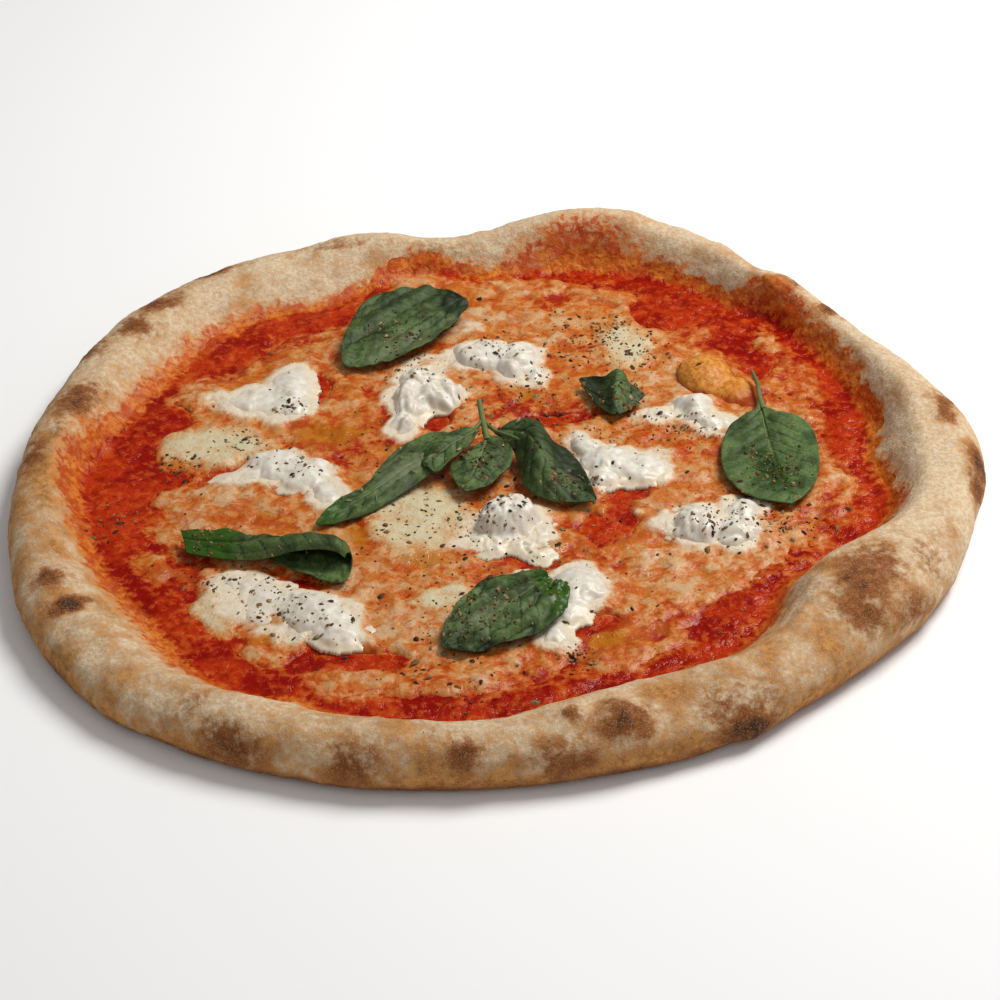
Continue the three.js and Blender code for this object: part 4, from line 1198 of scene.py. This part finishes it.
# Folded leaves as sections across them, each from one edge over the folds to the other
FOLDED_LEAVES = {
    "basil_sprig": [
        [(-1, 13, 13), (0, 13.5, 13.3), (1, 14, 13.6), (2, 14.5, 13.8)],
        [(5.5, 3.5, 11.5), (6.5, 8, 14.5), (7.5, 11.5, 16), (8.5, 15, 16.5)],
        [(7.5, -7.5, 10), (10, 0, 16), (12.5, 6.5, 19), (14.5, 11, 18)],
        [(9, -16, 9.5), (12.5, -8, 16), (16, -0.5, 17.5), (19.5, 5.5, 13)],
        [(14.5, -22, 9.3), (17, -15, 14.5), (20.5, -6, 12.5), (25.5, 1, 10.8)],
        [(22, -25, 9.2), (24, -20, 10.8), (26.5, -15, 9.6), (29.5, -10, 10.5)],
        [(31.5, -25.5, 9.4), (32, -25, 9.5), (32.3, -24.5, 9.6), (32.5, -24, 9.7)],
    ],
    "basil_curled_leaf": [
        [(30.5, 49, 9.5), (31, 47.5, 9.3), (31.5, 46, 9), (32, 45, 8.8)],
        [(35.5, 49, 10.5), (35.5, 44, 8.8), (35, 40, 8.5), (34.5, 36.5, 9.5)],
        [(40, 47, 11.5), (40.5, 41.5, 9.5), (40, 33.5, 9), (39, 28.5, 8.7)],
        [(44.5, 46.5, 14.5), (43.5, 41, 15), (42.5, 33, 13), (42.5, 26.5, 8.7)],
        [(48.5, 42.5, 11), (48, 38.5, 12), (47.5, 34, 11), (47, 29, 8.6)],
        [(53.5, 36.5, 9.5), (53, 36, 9.5), (52.5, 35.5, 9.3), (52, 35, 9)],
    ],
    "basil_rolled_leaf": [
        [
            (-104.5, -41, 8.5), (-105, -38.5, 9), (-105.5, -36, 9.5),
            (-106, -34, 9.8), (-106.5, -32, 10), (-107, -30.5, 10),
        ],
        [
            (-96, -44.5, 8.4), (-96, -42, 9.7), (-96, -40, 10.4),
            (-96, -37.5, 11), (-96, -35, 11), (-96, -33, 11),
        ],
        [
            (-86, -47.2, 8.8), (-86, -45.5, 10.5), (-86, -43, 11.5),
            (-86, -40.5, 12.2), (-86, -38, 12.2), (-86, -36, 11.8),
        ],
        [
            (-77, -50, 11.2), (-77, -48, 13.3), (-77, -45, 14.3),
            (-77, -41, 13.2), (-77, -41.5, 9.8), (-77, -46, 8.3),
        ],
        [
            (-68, -50.5, 13.8), (-68, -48.5, 16), (-68, -44.5, 15.5),
            (-68, -42.5, 11), (-68, -46, 8.2), (-68, -53, 8.2),
        ],
        [
            (-60, -51, 14.5), (-60, -49, 16.8), (-60, -45, 16),
            (-60, -43, 11.5), (-60, -48, 8.2), (-61, -58, 8.3),
        ],
        [
            (-54.5, -52, 14), (-54, -50, 15.8), (-53, -46.5, 14.5),
            (-52, -46, 10.5), (-53, -52, 8.3), (-55, -61, 8.4),
        ],
        [
            (-51.5, -53, 12), (-50.8, -52, 13), (-49.8, -51, 12.3),
            (-49.3, -51.5, 10), (-49.6, -55, 8.8), (-50.8, -60.5, 8.6),
        ],
    ],
}
LEAF_THICKNESS = 0.5
LEAF_STEPS = 84
LEAF_COLUMNS = 65
MIDRIB_PLACES = 200
STEM_STEPS = 24
STEM_SIDES = 10
VEIN_GAP = 6.5
FOLDED_CREASES = 0.5


def leaf_outline(points):
    """Places along the midrib and distances from it, at every step."""
    return refined(points, LEAF_STEPS).T


def blade_surface(midrib, left, right, lifts):
    """Middle surface of a leaf, on a grid of steps by columns."""
    fine = refined(midrib, MIDRIB_PLACES)
    along = (fine[-1] - fine[0]) * (1, 1, 0)
    along /= np.linalg.norm(along)
    side = np.array([-along[1], along[0], 0.0])
    step = np.linspace(0, 1, LEAF_STEPS)[:, None]
    column = np.linspace(-1, 1, LEAF_COLUMNS)[None, :]
    share = np.abs(column)
    outlines = np.where(column >= 0, leaf_outline(left)[:, :, None], leaf_outline(right)[:, :, None])
    lift = np.where(column >= 0, lifts[0], lifts[1])
    place = step + (outlines[0] - step) * share**1.3
    width = np.maximum(outlines[1], 0) * column
    knots = np.linspace(0, 1, len(fine))
    middle = np.stack([np.interp(place, knots, fine[:, axis]) for axis in range(3)], axis=-1)
    beyond = (place - np.clip(place, 0, 1)) * np.linalg.norm(fine[-1] - fine[0])
    surface = middle + along * beyond[..., None] + side * width[..., None]
    surface[:, :, 2] += lift * share**2 * np.sin(np.pi * step) ** 0.7
    return surface


def folded_surface(sections):
    along = refined(sections, LEAF_STEPS)
    return refined(along.transpose(1, 0, 2), LEAF_COLUMNS).transpose(1, 0, 2)


def leaf_relief(surface, creases, seed):
    """The surface with its veins and bulges, its normals, its veins' strength, and the painted shade in
    its creases.
    """
    lengthwise = np.gradient(surface, axis=0)
    crosswise = np.gradient(surface, axis=1)
    normal = np.cross(lengthwise, crosswise)
    normal /= np.maximum(np.linalg.norm(normal, axis=-1, keepdims=True), 1e-6)
    middle = LEAF_COLUMNS // 2
    run = np.cumsum(np.linalg.norm(lengthwise[:, middle], axis=-1))[:, None]
    reach = np.cumsum(np.linalg.norm(crosswise, axis=-1), axis=1)
    reach = np.abs(reach - reach[:, middle : middle + 1])
    column = np.abs(np.linspace(-1, 1, LEAF_COLUMNS))[None, :]
    shape = reach.shape
    places = surface.reshape(-1, 3)
    waver = noise(places, 9, seed).reshape(shape)
    axis = surface[-1, middle] - surface[0, middle]
    ahead = (surface - surface[0, middle]) @ (axis / np.linalg.norm(axis))
    phase = (ahead - 0.8 * reach + 1.4 * waver) / VEIN_GAP + 0.5 * (np.arange(LEAF_COLUMNS) > middle)
    off_vein = np.abs(phase - np.round(phase))
    vein = bell(off_vein * VEIN_GAP, 0.5) * (1 - column**4)
    midrib = bell(reach, 0.55) * (1 - smooth(run / run[-1], 0.6, 0.95))
    bulge = np.sin(np.pi * off_vein) ** 0.7 * (1 - midrib) * (1 - column**4)
    long_folds = noise(flat(run * 0.2, reach), 6, seed + 4)
    folds = np.abs(long_folds + 0.25 * noise(places, 5, seed + 5)).reshape(shape) ** 0.7
    crinkle = noises(places, (0.35, 5, seed + 1), (0.3, 2.0, seed + 2)).reshape(shape)
    edge = 0.9 * column**4 * noise(places, 6, seed + 3).reshape(shape)
    folded = 2.0 * (folds - 0.35) * smooth(column, 0.0, 0.35)
    rise = (0.6 - 0.3 * creases) * bulge + creases * (folded + crinkle + edge)
    fade = smooth(run / run[-1], 0.0, 0.06) * (1 - smooth(run / run[-1], 0.94, 1.0))
    surface = surface + normal * (rise * fade - 0.3 * midrib)[:, :, None]
    # Painted shade along the vein creases and in the fold valleys.
    shaded_valley = (1 - smooth(folds, 0.0, 0.25)) * smooth(column, 0.1, 0.4)
    crease_shade = np.maximum(0.85 * vein, 0.7 * creases * shaded_valley)
    return surface, normal, midrib, crease_shade


def sheet_faces(rows, columns, offset):
    """Quads of the two faces of a sheet and of its edge."""
    count = rows * columns
    faces = []
    for row in range(rows - 1):
        for column in range(columns - 1):
            a = offset + row * columns + column
            quad = (a, a + columns, a + columns + 1, a + 1)
            faces.append(quad)
            faces.append(tuple(index + count for index in reversed(quad)))

    def wall(a, b):
        faces.append((offset + a, offset + count + a, offset + count + b, offset + b))

    for row in range(rows - 1):
        wall(row * columns, (row + 1) * columns)
        wall((row + 2) * columns - 1, (row + 1) * columns - 1)
    for column in range(columns - 1):
        wall(column + 1, column)
        wall((rows - 1) * columns + column, (rows - 1) * columns + column + 1)
    return faces


def stem_points(path, radius):
    """An open tube along a path, which thins a little towards its end."""
    path = np.array(path, float)
    place = np.linspace(0, len(path) - 1, STEM_STEPS)
    middle = np.stack([np.interp(place, np.arange(len(path)), line) for line in path.T], axis=-1)
    thick = radius * (1.1 - 0.35 * np.arange(STEM_STEPS) / STEM_STEPS)
    around = 2 * math.pi * np.arange(STEM_SIDES) / STEM_SIDES
    ring = np.stack([np.cos(around), np.zeros(STEM_SIDES), np.sin(around)], axis=-1)
    points = middle[:, None] + thick[:, None, None] * ring
    quads = [tuple(reversed(face)) for face in ring_faces(STEM_STEPS, STEM_SIDES)]
    return points.reshape(-1, 3), quads


def make_leaf(name, surfaces, seed):
    points, faces = [], []
    values = {"vein": [], "crease_shade": [], "dark_and_shade": [], "bright": [], "grey_sheen": []}
    total = 0
    for index, (plain, creases) in enumerate(surfaces):
        surface, normal, vein, crease_shade = leaf_relief(plain, creases, seed + 7 * index)
        tones = leaf_tones(name, index, surface)
        for sign in (0.5, -0.5):
            points.append((surface + normal * sign * LEAF_THICKNESS).reshape(-1, 3))
            for key, value in zip(values, (vein, crease_shade, *tones)):
                values[key].append(value.ravel())
        faces += sheet_faces(LEAF_STEPS, LEAF_COLUMNS, total)
        total += 2 * LEAF_STEPS * LEAF_COLUMNS
    for path, radius in STEMS.get(name, []):
        stem, quads = stem_points(path, radius)
        points.append(stem)
        for key, level in zip(values, (1.0, 0.0, 0.1, 0.0, 0.0)):
            values[key].append(np.full(len(stem), level))
        faces += [tuple(index + total for index in face) for face in quads]
        total += len(stem)
    points = np.vstack(points)
    values = {key: np.concatenate(value) for key, value in values.items()}
    piece = new_mesh("leaf_" + name[6:], points, faces, BASIL, values)
    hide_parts(name)
    return points, faces


def leaf_tones(name, index, surface):
    """How dark each place of a leaf is, from its colour and from painted shade, how bright and wet, and
    how much painted grey sheen it has.
    """
    x, y = surface[:, :, 0], surface[:, :, 1]
    dark_and_shade, bright, grey_sheen = np.zeros_like(x), np.zeros_like(x), np.zeros_like(x)
    column = np.linspace(-1, 1, LEAF_COLUMNS)[None, :]
    if name == "basil_rolled_leaf":
        bright = 1 - smooth(x, -92, -84)
        # inner marks the inside of the roll; there the leaf is painted nearly black, a painted shadow
        # under the overhang.
        inner = smooth(column, -0.3, 0.0) * (1 - smooth(column, 0.4, 0.6))
        dark_and_shade = 0.35 * smooth(x, -90, -80) * (1 - smooth(column, 0.3, 0.6))
        dark_and_shade = dark_and_shade + 0.9 * inner * smooth(x, -80, -74)
    if name == "basil_right_leaf":
        bright = bell(ellipse_share(x, y, (92, -12, 6, 15, 12)), 0.9)
        dark_and_shade = 0.6 * bell(ellipse_share(x, y, (84, 14, 5, 9, -30)), 0.9)
        dark_and_shade = np.maximum(dark_and_shade, 0.7 * bright)
    if name == "basil_curled_leaf":
        # The curled leaf is painted lighter along its raised fold near x = 44 and darker in its dip near
        # x = 36: painted light and shade.
        dark_and_shade = 0.55 - 0.55 * bell((x - 44) / 3, 1) * smooth(y, 29, 33) + 0.4 * bell((x - 36) / 4, 1)
    if name == "basil_back_leaf":
        dark_and_shade = 0.9 * (1 - smooth(np.hypot(x + 12, y - 100), 5, 12))
        low = bell(ellipse_share(x, y, (-34, 76, 20, 8, 35)), 1.0)
        # The back leaf's lower part is brighter green and carries painted grey sheen.
        bright, grey_sheen = 0.35 * low, 0.65 * low
        dark_and_shade = np.maximum(dark_and_shade, 0.42 * (1 - low))
        dark_and_shade = np.maximum(dark_and_shade, 0.5 * bell(ellipse_share(x, y, (-33, 79, 6, 5, 0)), 0.9))
    if name == "basil_front_leaf":
        bright = 0.9 * smooth(x + 0.3 * y, -14, -8)
        # A patch of painted grey sheen.
        grey_sheen = 0.45 * bell(ellipse_share(x, y, (-6, -84, 14, 7, 35)), 1.0)
        dark_and_shade = 0.15 + 0.4 * (1 - smooth(y + 0.35 * x, -100, -93))
    if name == "basil_sprig":
        bright = 0.7 * (1 - smooth(x, -57, -50))
        # The folded leaf, the fourth surface, is painted darker all over: painted shade.
        dark_and_shade += (0.0, 0.0, 0.1, 0.4)[index]
        if index == 0:
            # A broad painted sheen along the sprig's long leaf.
            grey_sheen = 0.7 * bell(ellipse_share(x, y, (-32, -5, 15, 5, 37)), 1.0)
        # Painted shade on the side of the fold that lies low behind its ridge.
        if index == 3:
            dark_and_shade = dark_and_shade + 0.4 * smooth(column, 0.0, 0.4) * smooth(x, 12, 20)
    return dark_and_shade, bright, grey_sheen


def leaf_surfaces():
    """Every leaf's middle surfaces, each with how strongly it is creased."""
    surfaces = {name: [] for name in (*BASIL_LEAVES, *FOLDED_LEAVES)}
    for name, blades in BASIL_LEAVES.items():
        surfaces[name] += [(blade_surface(*blade[:4]), blade[4]) for blade in blades]
    for name, sections in FOLDED_LEAVES.items():
        surfaces[name].append((folded_surface(sections), FOLDED_CREASES))
    return surfaces


LEAVES = {}
for number, (leaf, surfaces) in enumerate(leaf_surfaces().items()):
    LEAVES[leaf] = make_leaf(leaf, surfaces, 200 + 30 * number)

# ---- the herb flakes

FLAKE_SEED = 5
# Clusters read on the plan: place, spread and count
FLAKE_CLUSTERS = [
    (44, 82, 13, 110), (56, 66, 10, 50), (28, 74, 12, 40), (15, 45, 14, 70), (40, 30, 16, 50),
    (64, 20, 9, 60), (95, -38, 10, 80), (78, -34, 14, 50), (22, -103, 6, 45), (-15, -103, 24, 90),
    (-73, 47, 5, 24), (-90, 27, 8, 40), (-110, 12, 10, 40), (-130, -20, 8, 40), (-75, -62, 14, 70),
    (-60, -78, 14, 45), (-92, -52, 12, 40), (-5, -22, 12, 60), (-25, -25, 14, 50),
    (-35, 92, 12, 40), (-30, 70, 9, 40), (0, 82, 10, 40), (95, -5, 10, 50), (-5, -75, 14, 70),
    (-5, 15, 10, 30), (70, -35, 9, 35), (25, -10, 8, 35), (-70, 12, 12, 35), (-100, -35, 10, 40),
    (45, 45, 9, 25), (0, -50, 22, 60), (94, -10, 7, 55), (88, 2, 5, 20), (-35, 90, 7, 35),
    (-5, 7, 5, 40), (21, -7, 4, 26), (-8, -80, 11, 50), (-101, -28, 4, 20), (35, 91, 10, 30),
    (48, 40, 6, 20), (0, 0, 75, 420),
]

# Single large flakes read on the plan: place and length
LARGE_FLAKES = [
    (-4, 113, 3.6), (-29, -101, 4.5), (67, -51, 3.6), (116, -33, 3.4), (47, 88, 3.6),
    (-89, 27, 3.0), (-40, -67, 3.4), (-49, -78, 3.2),
]


FLAKE_REACH = 150    # no flake lies further out than this
FLAKE_SCATTER = 0.62    # the share of a cluster's spread that its flakes are drawn with
FLAKE_COUNT_SHARE = 1.3
FLAKE_SIDES = 6


def all_surfaces():
    """What flakes may lie on."""
    skins = [(CRUST_GRID.reshape(-1, 3), CRUST_FACES), *CLOTS.values(), *LEAVES.values()]
    return [tree_of(*skin) for skin in skins] + [SAUCE_TREE, CHEESE_TREE, BUBBLE_TREE]


def first_hit(trees, x, y):
    """What the camera sees first behind a place on the plan, if anything."""
    hits = [tree.ray_cast(*view_ray(x, y)) for tree in trees]
    hits = [hit for hit in hits if hit[0] is not None]
    return min(hits, key=lambda hit: hit[3]) if hits else None


def drawn_flakes():
    """Place on the plan, tone and shape of every flake. The order of the draws matters."""
    rng = np.random.default_rng(FLAKE_SEED)
    clusters = [(x, y, 0, 1, size) for x, y, size in LARGE_FLAKES]
    for x, y, spread, count in FLAKE_CLUSTERS:
        clusters.append((x, y, spread, int(FLAKE_COUNT_SHARE * count), None))
    for cx, cy, spread, count, size in clusters:
        for _ in range(count):
            dx, dy = rng.normal(0, spread * FLAKE_SCATTER, 2)
            length = size or float(np.clip(rng.lognormal(-0.04, 0.55), 0.4, 2.8))
            shape = rng.uniform(0.35, 0.75)
            turn, tone = rng.uniform(0, 2 * math.pi), rng.uniform(0, 1)
            jitter = rng.uniform(0.75, 1.25, FLAKE_SIDES)
            tilt = rng.normal(0, 0.25, 2)
            yield cx + dx, cy + dy, tone, (length, shape, turn, jitter, tilt)


def flake_points(place, up, length, shape, turn, jitter, tilt):
    """A flake's points around its edge, then its top and its underside."""
    up = up if up[2] > 0 else -up
    up = up + np.array([*tilt, 0])
    up /= np.linalg.norm(up)
    first_axis = np.cross(up, [math.cos(turn), math.sin(turn), 0.01])
    first_axis /= np.linalg.norm(first_axis)
    second_axis = np.cross(up, first_axis)
    around = 2 * math.pi * np.arange(FLAKE_SIDES) / FLAKE_SIDES
    reach = 0.5 * length * jitter
    ring = place + np.outer(reach * np.cos(around), first_axis)
    ring = ring + np.outer(reach * shape * np.sin(around), second_axis) + up * 0.08
    return np.vstack([ring, place + up * (0.2 + 0.2 * length), place - up * 0.15])


def make_flakes():
    trees = all_surfaces()
    points, faces, tones = [], [], []
    for x, y, tone, shape in drawn_flakes():
        hit = first_hit(trees, x, y) if math.hypot(x, y) <= FLAKE_REACH else None
        if hit is None:
            continue
        first = len(tones)
        points.append(flake_points(np.array(hit[0]), np.array(hit[1]), *shape))
        faces += fan(first + FLAKE_SIDES, first, FLAKE_SIDES, True)
        faces += fan(first + FLAKE_SIDES + 1, first, FLAKE_SIDES, False)
        tones += [tone] * (FLAKE_SIDES + 2)
    piece = new_mesh("herb_flakes", np.vstack(points), faces, HERBS, {"tone": tones})
    piece.data.polygons.foreach_set("use_smooth", [False] * len(piece.data.polygons))


make_flakes()

# ---- floor and light


FLOOR_SIDE = 6.0    # metres each way
FLOOR_DROP = 0.0002    # metres below the part, so that the two faces don't flicker


def make_floor():
    mesh = bpy.data.meshes.new("floor")
    signs = [(-1, -1), (1, -1), (1, 1), (-1, 1)]
    corners = [(FLOOR_SIDE * a, FLOOR_SIDE * b, -FLOOR_DROP) for a, b in signs]
    mesh.from_pydata(corners, [], [(0, 1, 2, 3)])
    s = Shader("floor")
    mesh.materials.append(s.finish((0.93, 0.93, 0.93, 1.0), 0.9, Specular_IOR_Level=0.1))
    placed("floor", mesh)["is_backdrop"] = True


def area_light(name, place, size, power, color):
    data = bpy.data.lights.new(name, "AREA")
    data.shape = "DISK"
    data.size = size
    data.energy = power
    data.color = color
    light = placed(name, data)
    light.location = place
    light.rotation_euler = (-Vector(place)).to_track_quat("-Z", "Y").to_euler()


def make_world():
    """Soft light from above and in front, dim behind, so wet surfaces keep their colour."""
    world = bpy.data.worlds.new("world")
    world.use_nodes = True
    nodes, links = world.node_tree.nodes, world.node_tree.links
    way = nodes.new("ShaderNodeTexCoord")
    towards = nodes.new("ShaderNodeVectorMath")
    towards.operation = "DOT_PRODUCT"
    towards.inputs[1].default_value = (0.25, -0.6, 0.76)
    level = nodes.new("ShaderNodeMapRange")
    for key, value in {"From Min": -0.1, "From Max": 0.9, "To Min": 0.1, "To Max": 0.5}.items():
        level.inputs[key].default_value = value
    links.new(way.outputs["Generated"], towards.inputs[0])
    links.new(towards.outputs["Value"], level.inputs["Value"])
    links.new(level.outputs["Result"], nodes["Background"].inputs["Strength"])
    nodes["Background"].inputs["Color"].default_value = (1, 1, 1, 1)
    bpy.context.scene.world = world


def make_light():
    make_world()
    area_light("window", (0.6, 0.3, 0.95), 0.55, 13.0, (1.0, 0.985, 0.96))
    bpy.context.scene.view_settings.view_transform = "Standard"


make_floor()
make_light()

# ---- the end

boxes = {"cad": CAD_BOX, "visual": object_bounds()}
{key: [list(corner) for corner in box] for key, box in boxes.items()}
